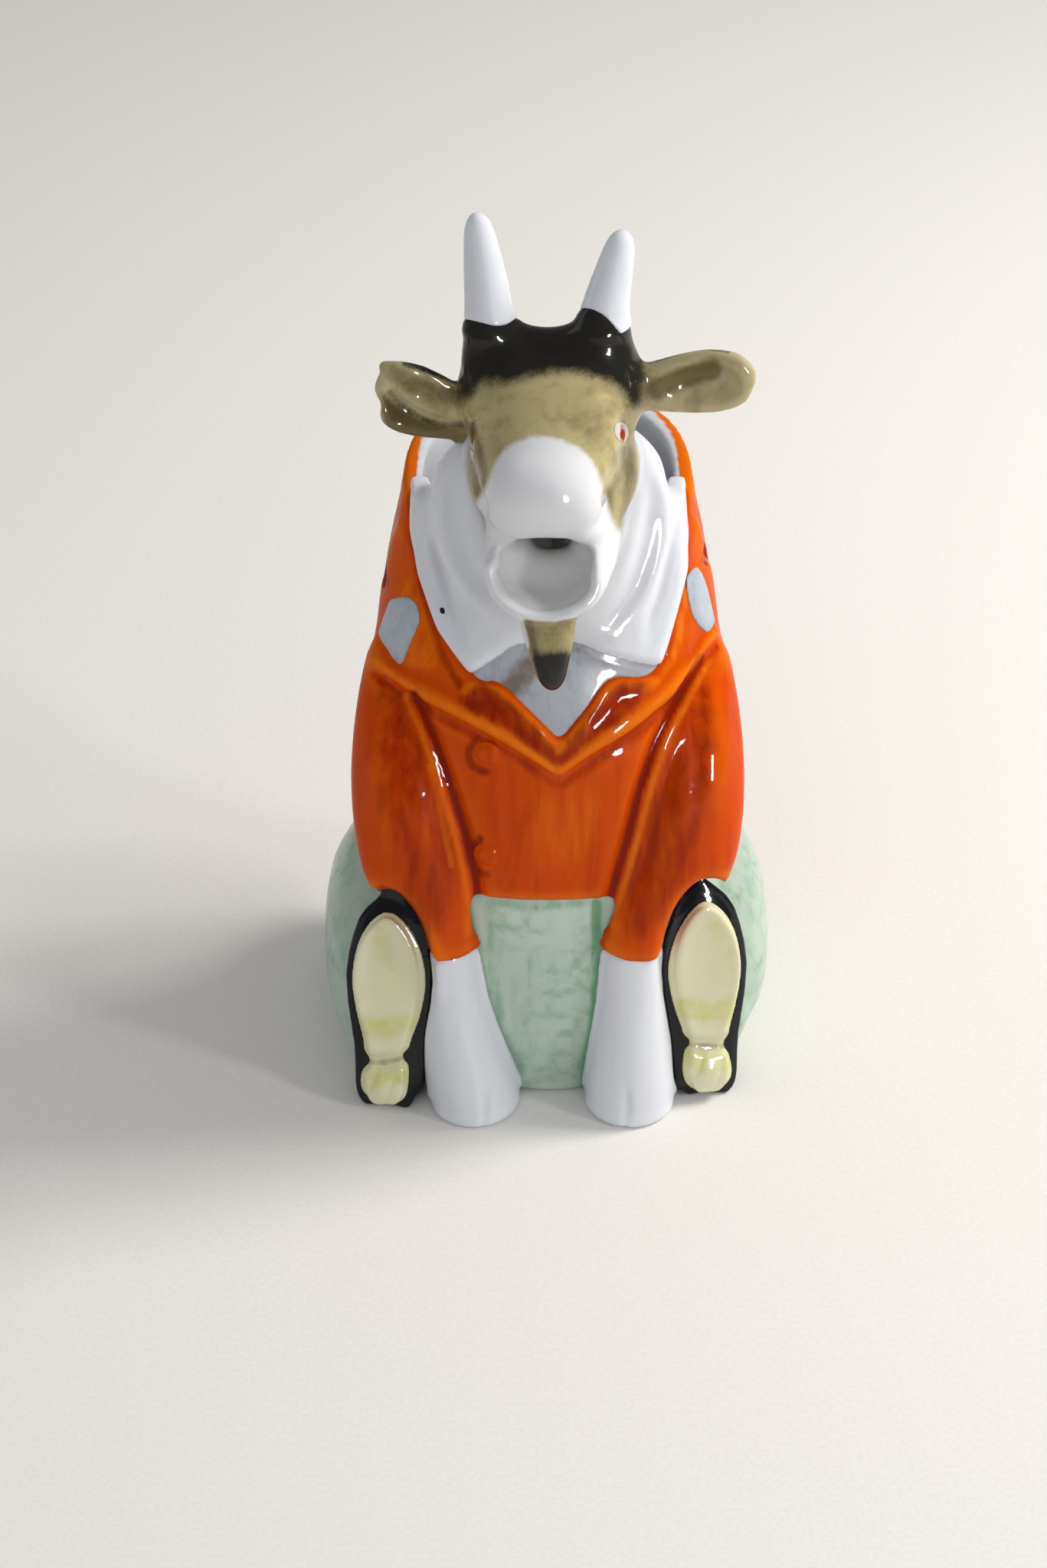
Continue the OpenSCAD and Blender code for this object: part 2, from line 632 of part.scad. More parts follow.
// Ear: a leaf with a hollow front
module ear_form(side) {
    l = side == LEFT ? ear_left_l : ear_right_l;
    root_x = 0.44 * head_w;
    root_z = side == LEFT ? -1.5 : 2.2;
    rise = side == LEFT ? 4.8 : 2.2;
    wide = side == LEFT ? 0.57 * ear_w : ear_w / 2;
    difference() {
        limb([
            [side * root_x, 0, root_z, 0.7 * wide, 0.55 * ear_t],
            [side * (root_x + 0.3 * l), -0.6, root_z + 0.3 * rise, 0.86 * wide, 0.5 * ear_t],
            [side * (root_x + 0.65 * l), -1.4, root_z + 0.7 * rise, wide, 0.5 * ear_t],
            [side * (root_x + 0.9 * l), -2, root_z + rise, 0.76 * wide, 0.42 * ear_t],
            [side * (root_x + l), -2.2, root_z + rise, 0.2 * wide, 0.2 * ear_t]
        ], 18, 2);
        limb([
            [side * (root_x + 0.28 * l), -0.6 - 0.55 * ear_t, root_z + 0.3 * rise, 0.3 * wide, 0.2 * ear_t],
            [side * (root_x + 0.42 * l), -0.9 - 0.5 * ear_t, root_z + 0.42 * rise, 0.52 * wide, 0.5 * ear_t],
            [side * (root_x + 0.66 * l), -1.4 - 0.5 * ear_t, root_z + 0.7 * rise, 0.74 * wide, 0.6 * ear_t],
            [side * (root_x + 0.86 * l), -1.9 - 0.5 * ear_t, root_z + 0.96 * rise, 0.4 * wide, 0.4 * ear_t]
        ], 16, 2);
    }
}

// Beard, which hangs free from the chin
module beard_form() {
    limb([
        [0, -0.80 * lip_reach, chin_z + 3, 0.52 * beard_w, 0.36 * beard_w],
        [0, -0.84 * lip_reach, chin_z - 0.1 * beard_l, 0.5 * beard_w, 0.36 * beard_w],
        [0, -0.87 * lip_reach, chin_z - 0.42 * beard_l, 0.38 * beard_w, 0.3 * beard_w],
        [0, -0.87 * lip_reach, chin_z - 0.72 * beard_l, 0.25 * beard_w, 0.23 * beard_w],
        [0, -0.86 * lip_reach, chin_z - 0.85 * beard_l, 0.1 * beard_w, 0.1 * beard_w]
    ], 16, 2);
}

// Eyeball set in the side of the head
module eye_form(side) {
    at = [side * 0.42 * head_w, -7.4, 0.6];
    limb([
        for (a = [-80 : 32 : 80])
            [at[0], at[1], at[2] + eye_d / 2 * sin(a), eye_d / 2 * cos(a), eye_d / 2 * cos(a)]
    ], 14, 1);
}

module handle_form() {
    back = coat_d / 2 - 1;
    mid = (handle_top + handle_foot) / 2;
    limb([
        [0, back - 9, handle_top - 2, 0.6 * handle_t, handle_w / 2],
        [0, back + 1, handle_top + 1, handle_t / 2, handle_w / 2],
        [0, back + 0.62 * handle_reach, handle_top + 0.6, handle_t / 2, handle_w / 2],
        [0, back + handle_reach, handle_top - 8, handle_t / 2, handle_w / 2],
        [0, back + 0.98 * handle_reach, mid - 2, handle_t / 2, handle_w / 2],
        [0, back + 0.66 * handle_reach, handle_foot + 3, handle_t / 2, handle_w / 2],
        [0, back, handle_foot, 0.6 * handle_t, handle_w / 2],
        [0, back - 9, handle_foot - 1, 0.7 * handle_t, handle_w / 2]
    ], 16, 3, ACROSS, FULL);
}

// Flower on a lapel: a shallow lens that lies in the coat's surface
module flower_form(side) {
    y = -11;
    z = chest_h + (side == LEFT ? 8 : 11);
    translate([side * 0.84 * rim_w / 2 + side * 3, y, z]) rotate([0, 0, side * 48])
        limb([
            [0, 3, 0, 0.1 * flower_w, 0.1 * flower_h],
            [0, 2.4, 0, 0.4 * flower_w, 0.4 * flower_h],
            [0, 0, 0, flower_w / 2, flower_h / 2],
            [0, -2.4, 0, 0.4 * flower_w, 0.4 * flower_h],
            [0, -3, 0, 0.1 * flower_w, 0.1 * flower_h]
        ], 20, 2, UP);
}

module base() {
    color(MINT) linear_extrude(base_h) polygon([
        for (k = [0 : 43]) let (o = oval(k, 44, FULL)) [o[0] * base_w / 2, o[1] * base_d / 2]
    ]);
}

module trouser_seat() {
    color(MINT) cast() difference() {
        seat_form();
        hollow();
    }
}
module leg(side) {
    color(MINT) cast() difference() {
        leg_form(side);
        body_block();
        sleeve_form(side);
    }
}
module shoe(side) {
    color(BLACK) cast() difference() {
        shoe_form(side);
        leg_form(side);
        body_block();
    }
}
module sole(side) {
    color(CREAM) cast() intersection() { sole_form(side); above_table(); }
}

// Coat shell, cut away where the shirt and the collar show
module coat_body() {
    color(ORANGE) cast() difference() {
        coat_form();
        hollow();
        intersection() { front_zone(vee_outline); dress_front(); }
        collars();
    }
}
module coat_buttons() {
    color(ORANGE) cast() difference() {
        for (z = [lerp(hem_h, vee_h, 0.39), lerp(hem_h, vee_h, 0.92)])
            translate([-button_side, -coat_d / 2 + 4, z]) rotate([90, 0, 0])
                cylinder(h = 4, d1 = button_d, d2 = button_d - 1, $fn = 20);
        torso();
        lapels();
        sleeve_form(LEFT);
    }
}
module shirt_front() {
    color(SHIRT) cast() difference() {
        intersection() { coat_form(); front_zone(vee_outline); dress_front(); }
        hollow();
        collars();
        on_head() passage_form();
    }
}
module lapel(outline) {
    color(ORANGE) cast() difference() {
        lapel_form(outline);
        torso();
        collars();
    }
}
module flower(side) {
    color(FLOWER) cast() intersection() {
        difference() {
            flower_form(side);
            torso(lapel_proud);
        }
        torso(lapel_proud + 0.9);
    }
}
module collar(outline) {
    color(PORCELAIN) cast() difference() {
        collar_form(outline);
        hollow();
        neck_hollow();
        on_head() { passage_form(); head_form(); }
    }
}
module sleeve(side) {
    color(ORANGE) cast() difference() {
        sleeve_form(side);
        body_block();
        lapels();
        shoe_form(side);
        shoe_clear(side);
    }
}
module hoof(side) {
    color(PORCELAIN) cast() difference() {
        hoof_form(side);
        sleeve_form(side);
        body_block();
        shoe_form(side);
        shoe_clear(side);
    }
}
module neck() {
    color(PORCELAIN) cast() difference() {
        neck_form();
        neck_hollow();
        difference() { torso(); above_rim(); }
        collars();
        on_head() { head_form(); passage_form(); }
    }
}
module head() {
    color(TAUPE) cast() on_head() difference() {
        head_form();
        mouth_form();
        passage_form();
        eye_form(LEFT);
        eye_form(RIGHT);
    }
}
module horn(side) {
    color(PORCELAIN) cast() on_head() intersection() { horn_rows(side); above_horn_join(); }
}
module ear(side) {
    color(TAUPE) cast() on_head() difference() { ear_form(side); head_form(); }
}
module eye(side) {
    color(PORCELAIN) cast() on_head() eye_form(side);
}
module beard() {
    color(TAUPE) cast() on_head() difference() { beard_form(); head_form(); mouth_form(); }
}
module handle() {
    color(ORANGE) cast() difference() { handle_form(); torso(); }
}

base();
trouser_seat();
leg(LEFT);  // leg_left
leg(RIGHT);  // leg_right
shoe(LEFT);  // shoe_left
shoe(RIGHT);  // shoe_right
sole(LEFT);  // sole_left
sole(RIGHT);  // sole_right
coat_body();
coat_buttons();
shirt_front();
lapel(lapel_left_outline);  // lapel_left
lapel(lapel_right_outline);  // lapel_right
flower(LEFT);  // flower_left
flower(RIGHT);  // flower_right
collar(collar_left_outline);  // collar_left
collar(collar_right_outline);  // collar_right
sleeve(LEFT);  // sleeve_left
sleeve(RIGHT);  // sleeve_right
hoof(LEFT);  // hoof_left
hoof(RIGHT);  // hoof_right
neck();
head();
horn(LEFT);  // horn_left
horn(RIGHT);  // horn_right
ear(LEFT);  // ear_left
ear(RIGHT);  // ear_right
eye(LEFT);  // eye_left
eye(RIGHT);  // eye_right
beard();
handle();
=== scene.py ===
"""Goat creamer: cast porcelain pieces with painted enamels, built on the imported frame.

Every piece starts as the signed distance of its CAD nodes on a grid. The grid is softened as
slip and glaze soften a casting, neighbours of one colour are melted together, folds and creases
are modelled into it, and the result is meshed. Lengths are millimetres until a mesh is made.
"""

import json
import logging
import math
from dataclasses import dataclass
from enum import Enum

import bpy
import numpy as np
import openvdb as vdb
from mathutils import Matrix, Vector

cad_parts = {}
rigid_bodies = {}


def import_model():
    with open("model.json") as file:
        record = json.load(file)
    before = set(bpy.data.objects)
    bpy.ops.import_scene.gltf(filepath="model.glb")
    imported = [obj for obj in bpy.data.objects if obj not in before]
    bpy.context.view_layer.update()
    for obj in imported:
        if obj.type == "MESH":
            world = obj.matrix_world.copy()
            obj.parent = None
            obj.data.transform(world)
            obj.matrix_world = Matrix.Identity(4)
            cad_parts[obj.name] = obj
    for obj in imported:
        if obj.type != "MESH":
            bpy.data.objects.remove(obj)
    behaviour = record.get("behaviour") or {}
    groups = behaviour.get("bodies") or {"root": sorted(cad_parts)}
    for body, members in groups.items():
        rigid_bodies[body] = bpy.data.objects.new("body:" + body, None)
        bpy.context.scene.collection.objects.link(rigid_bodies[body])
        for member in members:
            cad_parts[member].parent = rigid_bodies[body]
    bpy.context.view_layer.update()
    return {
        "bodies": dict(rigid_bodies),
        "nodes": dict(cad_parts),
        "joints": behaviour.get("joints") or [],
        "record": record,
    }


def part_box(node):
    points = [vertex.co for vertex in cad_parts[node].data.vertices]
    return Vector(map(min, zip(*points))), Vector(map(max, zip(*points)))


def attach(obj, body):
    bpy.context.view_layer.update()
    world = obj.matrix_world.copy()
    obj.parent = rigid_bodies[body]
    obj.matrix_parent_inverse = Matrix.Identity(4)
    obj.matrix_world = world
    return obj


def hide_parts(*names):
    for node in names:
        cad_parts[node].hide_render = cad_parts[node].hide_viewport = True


LOG = logging.getLogger("goat_creamer")
# Metres in a millimetre.
MM = 0.001
# Widest distance that a grid keeps.
BAND = 3.0
# Millimetres of the object that a pixel of the frame covers.
PIXEL = 0.1
# How squarely a surface has to face the camera for paint to set in, and to be full.
IN_VIEW = (0.02, 0.25)
# How squarely a wall faces away from the body's axis outside, and inside.
OFF_AXIS = (0.6, -0.9)
# Nodes that lie on a piece and aren't cast in one with it.
LAID_ON = ("coat_buttons", "flower_left", "flower_right", "eye_left", "eye_right")


class Side(Enum):
    """Side of the goat as seen from the front."""

    LEFT = -1
    RIGHT = 1

    @property
    def tag(self) -> str:
        """Ending of the names of this side's nodes."""
        return self.name.lower()


def linear(code: str) -> tuple[float, float, float, float]:
    """Turns an sRGB hex colour into the linear colour that shaders take.

    Args:
        code: Colour as "#rrggbb".

    Returns:
        Linear red, green, blue and an alpha of 1.
    """
    parts = [int(code[i:i + 2], 16) / 255 for i in (1, 3, 5)]
    return (*[c / 12.92 if c <= 0.04045 else ((c + 0.055) / 1.055) ** 2.4 for c in parts], 1.0)


def ramp(x: np.ndarray, low: float, high: float) -> np.ndarray:
    """Smooth step from 0 at low to 1 at high, which may lie below low."""
    t = np.clip((x - low) / (high - low), 0.0, 1.0)
    return t * t * (3.0 - 2.0 * t)


def melt(a: np.ndarray, b: np.ndarray, fillet: float) -> np.ndarray:
    """Union of two distance fields with a rounded inner corner."""
    h = np.clip(0.5 + 0.5 * (b - a) / fillet, 0.0, 1.0)
    return b * (1.0 - h) + a * h - fillet * h * (1.0 - h)


def shave(a: np.ndarray, b: np.ndarray, fillet: float) -> np.ndarray:
    """What two distance fields have in common, with a rounded outer edge."""
    return -melt(-a, -b, fillet)


def path_distance(points: np.ndarray, path: np.ndarray) -> tuple[np.ndarray, np.ndarray]:
    """Distance from points to a line through several places.

    Args:
        points: Places to measure from, in the last axis of three.
        path: Corners of the line, one row of three each.

    Returns:
        The distance, and how far along the line the nearest place lies, from 0 to 1.
    """
    best = np.full(points.shape[:-1], np.inf)
    along = np.zeros(points.shape[:-1])
    count = len(path) - 1
    for i in range(count):
        a, run = path[i], path[i + 1] - path[i]
        t = np.clip(((points - a) @ run) / max(float(run @ run), 1e-9), 0.0, 1.0)
        gap = np.linalg.norm(points - a - t[..., None] * run, axis=-1)
        near = gap < best
        best = np.where(near, gap, best)
        along = np.where(near, (i + t) / count, along)
    return best, along


def outline_distance(spots: np.ndarray, outline: np.ndarray) -> np.ndarray:
    """Measures how far flat spots lie from a closed outline.

    Args:
        spots: Spots to measure from, one row of two each.
        outline: Corners of the outline, one row of two each.

    Returns:
        One distance per spot, positive inside.
    """
    gap = np.full(len(spots), np.inf)
    inside = np.zeros(len(spots), dtype=bool)
    for a, b in zip(outline, np.roll(outline, -1, axis=0)):
        run = b - a
        t = np.clip(((spots - a) @ run) / max(float(run @ run), 1e-9), 0.0, 1.0)
        gap = np.minimum(gap, np.linalg.norm(spots - a - t[:, None] * run, axis=1))
        crosses = (a[1] > spots[:, 1]) != (b[1] > spots[:, 1])
        rise = np.where(abs(run[1]) < 1e-9, 1e-9, run[1])
        inside ^= crosses & (spots[:, 0] < a[0] + (spots[:, 1] - a[1]) / rise * run[0])
    return np.where(inside, gap, -gap)


def curve_through(rows: list, steps: int = 6) -> np.ndarray:
    """Draws a smooth line through a few places, so that a stroke has no corners.

    Args:
        rows: The places.
        steps: How many points the line has from one place to the next.

    Returns:
        The points of the line, one row each.
    """
    p = np.asarray(rows, dtype=float)
    out = []
    for i in range(len(p) - 1):
        a, b, c, d = p[max(i - 1, 0)], p[i], p[i + 1], p[min(i + 2, len(p) - 1)]
        for t in np.arange(steps) / steps:
            out.append(0.5 * (2 * b + (c - a) * t + (2 * a - 5 * b + 4 * c - d) * t * t
                              + (3 * b - a - 3 * c + d) * t ** 3))
    return np.array([*out, p[-1]])


def ring(outline: tuple) -> np.ndarray:
    """Smooth closed line through the spots of an outline."""
    return curve_through([*outline, outline[0]], 4)[:-1]


@dataclass(frozen=True)
class Lens:
    """Camera that the object is seen with: its place, and its frame in pixels."""

    place: tuple[float, float, float] = (-3.1, -377.4, 281.5)
    pitch: float = 33.0
    focal: float = 4400.0
    width: float = 1367.0
    height: float = 2048.0
    sensor: float = 36.0

    @property
    def axes(self) -> np.ndarray:
        """Directions to the right, down and forward, one row each."""
        s, c = math.sin(math.radians(self.pitch)), math.cos(math.radians(self.pitch))
        return np.array([[1.0, 0.0, 0.0], [0.0, -s, -c], [0.0, c, -s]])

    def rays(self, spots: np.ndarray) -> np.ndarray:
        """Finds the directions from the camera through spots of the frame.

        Args:
            spots: Pixel positions, one row of two each.

        Returns:
            Unit directions, one row of three each.
        """
        u = (spots[:, 0] - self.width / 2) / self.focal
        v = (spots[:, 1] - self.height / 2) / self.focal
        way = np.stack([u, v, np.ones_like(u)], axis=1) @ self.axes
        return way / np.linalg.norm(way, axis=1, keepdims=True)

    def spots(self, points: np.ndarray) -> np.ndarray:
        """Finds where places are seen.

        Args:
            points: Places, one row of three each.

        Returns:
            Pixel positions in the frame, one row of two each.
        """
        seen = (points - np.array(self.place)) @ self.axes.T
        return np.stack([
            self.width / 2 + self.focal * seen[:, 0] / seen[:, 2],
            self.height / 2 + self.focal * seen[:, 1] / seen[:, 2],
        ], axis=1)

    def facing(self, points: np.ndarray, normals: np.ndarray) -> np.ndarray:
        """How squarely surfaces face the camera, 1 straight on and below 0 turned away."""
        way = np.array(self.place) - points
        return np.einsum("ij,ij->i", way / np.linalg.norm(way, axis=1, keepdims=True), normals)

    def build(self) -> None:
        """Adds the camera to the scene."""
        data = bpy.data.cameras.new("camera")
        data.sensor_fit, data.sensor_width = "AUTO", self.sensor
        data.lens = self.focal / self.height * self.sensor
        data.dof.use_dof = False
        camera = bpy.data.objects.new("camera", data)
        camera.location = [c * MM for c in self.place]
        camera.rotation_euler = (math.radians(90.0 - self.pitch), 0.0, 0.0)
        bpy.context.scene.collection.objects.link(camera)
        bpy.context.scene.camera = camera


LENS = Lens()


@dataclass
class Shell:
    """Meshed surface of a piece, with what its paint is worked out from."""

    points: np.ndarray
    normals: np.ndarray
    faces: np.ndarray
    ridge: np.ndarray

    @property
    def spots(self) -> np.ndarray:
        """Spots of the camera's frame at which the points are seen."""
        return LENS.spots(self.points)

    @property
    def facing(self) -> np.ndarray:
        """How squarely the surface faces the camera at each point."""
        return LENS.facing(self.points, self.normals)

    def object(self, name: str, paints: dict[str, np.ndarray]) -> bpy.types.Object:
        """Makes the Blender object.

        Args:
            name: Name of the object and of its mesh.
            paints: Values per point, stored as attributes that the materials read.

        Returns:
            The object, linked to the scene, at the origin and in metres.
        """
        mesh = bpy.data.meshes.new(name)
        mesh.vertices.add(len(self.points))
        mesh.vertices.foreach_set("co", (self.points * MM).astype(np.float32).ravel())
        mesh.loops.add(self.faces.size)
        mesh.loops.foreach_set("vertex_index", self.faces.astype(np.int32).ravel())
        mesh.polygons.add(len(self.faces))
        mesh.polygons.foreach_set("loop_start", np.arange(len(self.faces), dtype=np.int32) * 4)
        mesh.update(calc_edges=True)
        mesh.validate()
        mesh.shade_smooth()
        for key, values in {"ridge": self.ridge, **paints}.items():
            layer = mesh.attributes.new(key, "FLOAT", "POINT")
            layer.data.foreach_set("value", values.astype(np.float32))
        made = bpy.data.objects.new(name, mesh)
        bpy.context.scene.collection.objects.link(made)
        LOG.info("%s: %d faces", name, len(self.faces))
        return made


class Clay:
    """Soft form on a grid of signed distances, negative inside.

    Args:
        nodes: Names of the CAD nodes whose room the grid covers.
        step: Distance between grid points.
        room: Free room around the nodes.
    """

    frame: dict = {}
    # How much both roundings differ where an edge begins, and where it is full, and how far it is spread.
    edge, edge_spread = (0.16, 0.4), 0.5
    # Rounding of the seams between pieces, and of the edges along them.
    seam, seam_edge = 0.3, 0.25
    # Width over which a surface sinks before a seam, and how much and over what width it sinks past it.
    hem, tuck, tuck_width = 0.4, 0.5, 0.8
    # Steps of a ray, the part of the free room that each takes, and the distance that counts as a touch.
    marches, stride, touch = 260, 0.6, 0.02
    # Distance over which the surroundings are averaged to tell ridges from creases.
    around = 1.1

    def __init__(self, nodes: tuple[str, ...], step: float, room: float = 3.0) -> None:
        """Makes an empty grid."""
        step *= 1.0
        corners = np.array([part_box(n) for n in nodes]) / MM
        low = np.floor((corners[:, 0].min(axis=0) - room) / step)
        high = np.ceil((corners[:, 1].max(axis=0) + room) / step)
        self.step = step
        self.start = low.astype(int)
        self.shape = tuple((high - low).astype(int) + 1)
        self.grid = vdb.createLinearTransform(voxelSize=step)
        self.d = np.full(self.shape, BAND, dtype=np.float32)
        self.own = self.mine = self.lower = self.upper = self.d

    def level(self, node: str) -> np.ndarray:
        """Measures one CAD node on this grid.

        Args:
            node: Name of the node.

        Returns:
            Signed distances, the same shape as the grid.
        """
        mesh = Clay.frame["nodes"][node].data
        mesh.calc_loop_triangles()
        co = np.empty(len(mesh.vertices) * 3, dtype=np.float32)
        mesh.vertices.foreach_get("co", co)
        tri = np.empty(len(mesh.loop_triangles) * 3, dtype=np.int32)
        mesh.loop_triangles.foreach_get("vertices", tri)
        whole = np.round(co.reshape(-1, 3).astype(float) / MM, 4)
        points, index = np.unique(whole, axis=0, return_inverse=True)
        tri = index.reshape(-1)[tri].reshape(-1, 3)
        tri = tri[(tri[:, 0] != tri[:, 1]) & (tri[:, 1] != tri[:, 2]) & (tri[:, 0] != tri[:, 2])]
        field = vdb.FloatGrid.createLevelSetFromPolygons(
            points.astype(np.float32), triangles=tri.astype(np.uint32), transform=self.grid,
            halfWidth=BAND / self.step)
        out = np.empty(self.shape, dtype=np.float32)
        field.copyToArray(out, ijk=tuple(int(i) for i in self.start))
        return out

    def blur(self, field: np.ndarray, soft: float) -> np.ndarray:
        """Rounds a field off.

        Args:
            field: Values on the grid.
            soft: Distance over which they are rounded off.

        Returns:
            The rounded values.
        """
        sigma = soft / self.step
        if sigma < 0.2:
            return field
        reach = int(math.ceil(2.6 * sigma))
        taps = np.exp(-0.5 * (np.arange(-reach, reach + 1) / sigma) ** 2)
        taps = (taps / taps.sum()).astype(np.float32)
        for axis in range(3):
            wide = np.pad(field, [(reach, reach) if a == axis else (0, 0) for a in range(3)], mode="edge")
            length = field.shape[axis]
            field = np.zeros_like(field)
            for k, tap in enumerate(taps):
                cut = [slice(None)] * 3
                cut[axis] = slice(k, k + length)
                field += tap * wide[tuple(cut)]
        return field

    def levels(self, nodes: tuple[str, ...], fillets: dict[str, float]) -> np.ndarray:
        """Signed distance of several CAD nodes together.

        Args:
            nodes: Names of the nodes.
            fillets: Width over which a node is melted to those before it.

        Returns:
            The distances, the same shape as the grid.
        """
        whole = np.full(self.shape, BAND, dtype=np.float32)
        for node in nodes:
            width = fillets.get(node, 0.0)
            field = self.level(node)
            whole = melt(whole, field, width).astype(np.float32) if width else np.minimum(whole, field)
        return whole

    def cast(self, nodes: tuple[str, ...], fillets: dict[str, float], fine: float, broad: float) -> None:
        """Casts the nodes of a piece in one with all that touches them, and rounds them off.

        Broad surfaces are smoothed over a long distance and edges over a short one, so that
        facets go and steps stay.

        Args:
            nodes: Nodes of the piece.
            fillets: Width over which a node is melted to those before it, or a neighbour to them.
            fine: Distance over which edges are rounded.
            broad: Distance over which broad surfaces are smoothed.
        """
        rank = RANKS[nodes[0]]
        low, high = self.start * self.step, (self.start + np.array(self.shape)) * self.step
        self.mine = fused = self.levels(nodes, fillets)
        for node in sorted(Clay.frame["nodes"], key=lambda n: n in fillets):
            box = np.array(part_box(node)) / MM
            if node in nodes or node in LAID_ON or np.any(box[0] >= high) or np.any(box[1] <= low):
                continue
            field = self.level(node)
            if node in fillets:
                fused = melt(fused, field, fillets[node]).astype(np.float32)
            else:
                fused = np.minimum(fused, field)
            if RANKS[node] <= rank:
                self.lower = np.minimum(self.lower, field)
            else:
                self.upper = np.minimum(self.upper, field)
        small, big = self.blur(fused, fine), self.blur(fused, broad)
        edge = ramp(self.blur(np.abs(big - small), self.edge_spread), *self.edge)
        self.d = (big + (small - big) * edge).astype(np.float32)

    def part(self, claims: tuple = (), gives: tuple = (), lap: float = 1.2, sink: float = 0.1) -> None:
        """Parts the piece from what it was cast in one with.

        Args:
            claims: Outlines in the frame inside which it takes the place of the pieces on top of it.
            gives: Outlines in the frame inside which a piece below takes its place.
            lap: How far it reaches in under the pieces on top of it.
            sink: How far its surface lies lower there.
        """
        self.own = self.d.copy()
        below = self.blur(0.5 * (self.mine - self.lower), self.seam)
        above = self.blur(0.5 * (self.mine - self.upper), self.seam)
        for outline in claims:
            inside = self.inside(outline)
            above = np.minimum(above, -inside)
            below = np.where(inside > -lap, np.minimum(below, -1.0), below)
        for outline in gives:
            below = np.maximum(below, self.inside(outline))
        sunk = self.d + sink * ramp(above, -self.hem, 0.0) + self.tuck * ramp(above, 0.0, self.tuck_width)
        kept = shave(shave(sunk, below, self.seam_edge), above - lap, self.seam_edge)
        self.d = kept.astype(np.float32)

    def inside(self, outline: tuple) -> np.ndarray:
        """Measures how far grid points lie inside an outline of the frame.

        Args:
            outline: Corners of the outline, in pixels.

        Returns:
            Distances in about millimetres, negative outside.
        """
        line = ring(outline)
        spots = LENS.spots(self.axes().reshape(-1, 3))
        room = BAND / PIXEL
        near = np.all((spots > line.min(axis=0) - room) & (spots < line.max(axis=0) + room), axis=1)
        out = np.full(len(spots), -BAND)
        out[near] = PIXEL * outline_distance(spots[near], line)
        return out.reshape(self.shape)

    def fold(self, spots: list, radius: float, proud: float, fillet: float, taper: float = 0.6) -> None:
        """Models a soft fold along a line of the frame, standing proud of the surface."""
        self.stroke(self.seen(curve_through(spots), proud - radius), radius, fillet, False, taper)

    def crease(self, spots: list, radius: float, depth: float, fillet: float, taper: float = 0.6) -> None:
        """Presses a soft crease along a line of the frame."""
        self.stroke(self.seen(curve_through(spots), radius - depth), radius, fillet, True, taper)

    def fill(self, soft: float, above: float, fade: float) -> None:
        """Fills hollows with clay.

        Args:
            soft: Distance over which they are filled.
            above: Height from which they are filled.
            fade: Height over which the filling sets in.
        """
        z = (np.arange(self.shape[2]) + self.start[2]) * self.step
        share = ramp(z, above, above + fade).astype(np.float32)
        low = np.minimum(self.d, self.blur(self.d, soft))
        self.d = (self.d + share * (low - self.d)).astype(np.float32)

    def take(self, other: "Clay") -> None:
        """Takes over the form of another grid.

        Args:
            other: The grid whose form is taken.
        """
        points = self.axes().reshape(-1, 3)
        self.d = other.sample(points, other.own).reshape(self.shape).astype(np.float32)
        self.own = self.d.copy()

    def axes(self, cut: tuple | None = None) -> np.ndarray:
        """Finds the places of grid points.

        Args:
            cut: One slice per axis for a part of the grid, or None for all of it.

        Returns:
            The places, with x, y and z in the last axis.
        """
        cut = cut or tuple(slice(0, n) for n in self.shape)
        lines = [(np.arange(s.start, s.stop) + self.start[a]) * self.step for a, s in enumerate(cut)]
        return np.stack(np.meshgrid(*lines, indexing="ij"), axis=-1)

    def cut_around(self, low: np.ndarray, high: np.ndarray) -> tuple:
        """Finds the part of the grid that holds a box.

        Args:
            low: Least corner of the box.
            high: Greatest corner of the box.

        Returns:
            One slice per axis.
        """
        first = np.clip(np.floor(low / self.step).astype(int) - self.start, 0, self.shape)
        last = np.clip(np.ceil(high / self.step).astype(int) - self.start + 1, 0, self.shape)
        return tuple(slice(int(a), int(b)) for a, b in zip(first, last))

    def stroke(self, path: np.ndarray, radius: float, fillet: float, dig: bool = False,
               taper: float = 0.6) -> None:
        """Models a roll of clay onto the form, or presses a groove into it.

        Args:
            path: Line that the middle of the roll follows.
            radius: Radius of the roll at its middle.
            fillet: Width over which it blends with the form.
            dig: Whether it is pressed in rather than laid on.
            taper: How much of the radius is lost towards the ends.
        """
        room = radius + 2 * fillet
        cut = self.cut_around(path.min(axis=0) - room, path.max(axis=0) + room)
        gap, along = path_distance(self.axes(cut), path)
        roll = gap - radius * (1.0 - taper * (2.0 * along - 1.0) ** 2)
        part = self.d[cut]
        self.d[cut] = -melt(-part, roll, fillet) if dig else melt(part, roll, fillet)

    def sample(self, points: np.ndarray, field: np.ndarray | None = None) -> np.ndarray:
        """Reads a field between its grid points.

        Args:
            points: Places, one row of three each.
            field: Values on the grid, or None for the distances of the form.

        Returns:
            One value per place.
        """
        field = self.d if field is None else field
        g = points / self.step - self.start
        base = np.clip(np.floor(g).astype(int), 0, np.array(self.shape) - 2)
        f = np.clip(g - base, 0.0, 1.0)
        out = np.zeros(len(points))
        for corner in range(8):
            bit = np.array([(corner >> a) & 1 for a in range(3)])
            weight = np.prod(np.where(bit, f, 1.0 - f), axis=1)
            i = base + bit
            out += weight * field[i[:, 0], i[:, 1], i[:, 2]]
        return out

